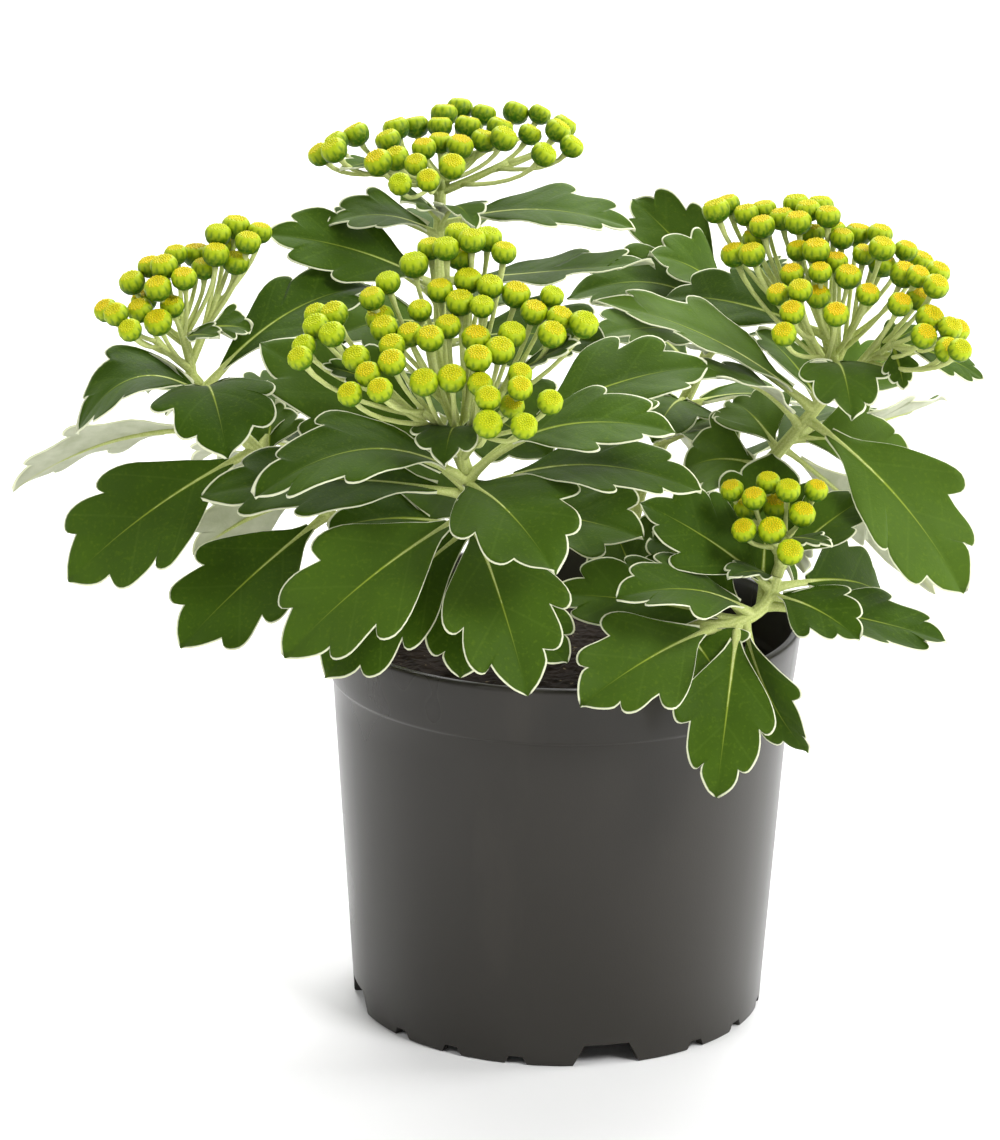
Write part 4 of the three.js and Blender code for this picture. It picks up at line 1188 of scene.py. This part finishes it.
def pot_material():
    g = Graph("pot_plastic")
    broad = g.noise(14, 4, (1.0, 1.0, 0.5))
    scuff = g.band(g.noise(60, 6, (1.0, 1.0, 0.2)), 0.58, 0.75)
    shade = g.mix(broad, "282621", "2f2c27")
    shade = g.mix(g.times(scuff, 0.2), shade, "403c36")
    rough = g.math("ADD", g.band(broad, 0.3, 0.7, 0.26, 0.34), g.times(scuff, 0.12))
    g.set(Base_Color=shade, Roughness=rough, Specular_IOR_Level=0.3)
    g.bump(g.noise(2200, 2), 0.00005, 0.4)
    return g.material


def mix_material():
    g = Graph("peat_and_bark")
    # The peat's own dark brown, darkened further as painted shade under the leaves
    shade = g.mix(g.noise(300, 5), "110d09", "2c2118")
    shade = g.mix(g.band(g.noise(520, 2), 0.66, 0.72), shade, "62563f")
    g.set(Base_Color=shade, Roughness=0.95, Specular_IOR_Level=0.15)
    g.bump(g.cells(420), 0.0012, 1.0)
    return g.material


def floor_material():
    g = Graph("studio_floor")
    far = g.node("ShaderNodeVectorMath")
    far.operation = "LENGTH"
    g.put(far.inputs[0], g.place)
    glow = g.band(far.outputs["Value"], *GLOW_RANGE, 0.0, GLOW)
    shade = g.mix(g.noise(3, 2), grey(0.88), grey(0.92))
    g.set(Base_Color=shade, Roughness=0.8, Specular_IOR_Level=0.1)
    g.set(Emission_Color=grey(1.0), Emission_Strength=glow)
    return g.material


# Studio

def camera():
    data = bpy.data.cameras.new("camera")
    data.lens = LENS
    data.sensor_width = 36
    data.sensor_fit = "AUTO"
    data.clip_end = 100
    eye = add_object("camera", data)
    place = (EYE + SHIFT) * MM
    turn = Matrix((RIGHT, UPWARD, -AHEAD)).transposed().to_4x4()
    eye.matrix_world = Matrix.Translation(Vector(place)) @ turn
    bpy.context.scene.camera = eye


def area_light(name, place, target, size, power):
    data = bpy.data.lights.new(name, "AREA")
    data.shape = "RECTANGLE"
    data.size, data.size_y = size
    data.energy = power
    light = add_object(name, data)
    ahead = Vector(target) - Vector(place)
    turn = ahead.to_track_quat("-Z", "Y").to_matrix().to_4x4()
    light.matrix_world = Matrix.Translation(Vector(place)) @ turn


def sky():
    world = bpy.data.worlds.new("studio")
    world.use_nodes = True
    tree = world.node_tree
    background = tree.nodes["Background"]
    split = tree.nodes.new("ShaderNodeSeparateXYZ")
    tree.links.new(tree.nodes.new("ShaderNodeTexCoord").outputs["Generated"], split.inputs[0])
    haze = tree.nodes.new("ShaderNodeMapRange")
    tree.links.new(split.outputs["Z"], haze.inputs["Value"])
    haze.inputs["From Min"].default_value, haze.inputs["From Max"].default_value = SKY_DIMS
    haze.inputs["To Min"].default_value, haze.inputs["To Max"].default_value = 1.0, HIGH_SKY
    tree.links.new(haze.outputs["Result"], background.inputs["Strength"])
    background.inputs["Color"].default_value = grey(1.0)
    bpy.context.scene.world = world
    bpy.context.scene.view_settings.view_transform = "Standard"


def studio():
    for light in LIGHTS:
        area_light(*light)
    sky()
    far = FLOOR_REACH / MM
    points = [(-far, -far, 0), (far, -far, 0), (far, far, 0), (-far, far, 0)]
    floor = mesh_object("floor", points, [(0, 1, 2, 3)])
    floor.data.materials.append(floor_material())


camera()
studio()
LEAF, FELTED, BUDS = leaf_material(), felt_material(), bud_material()
pot(pot_material())
potting_mix(mix_material())
for number, stem in enumerate(STEMS):
    leafy_stem(number, stem, [FELTED, LEAF])
for number, head in enumerate(HEADS):
    flower_head(number, head, [FELTED, BUDS, LEAF])
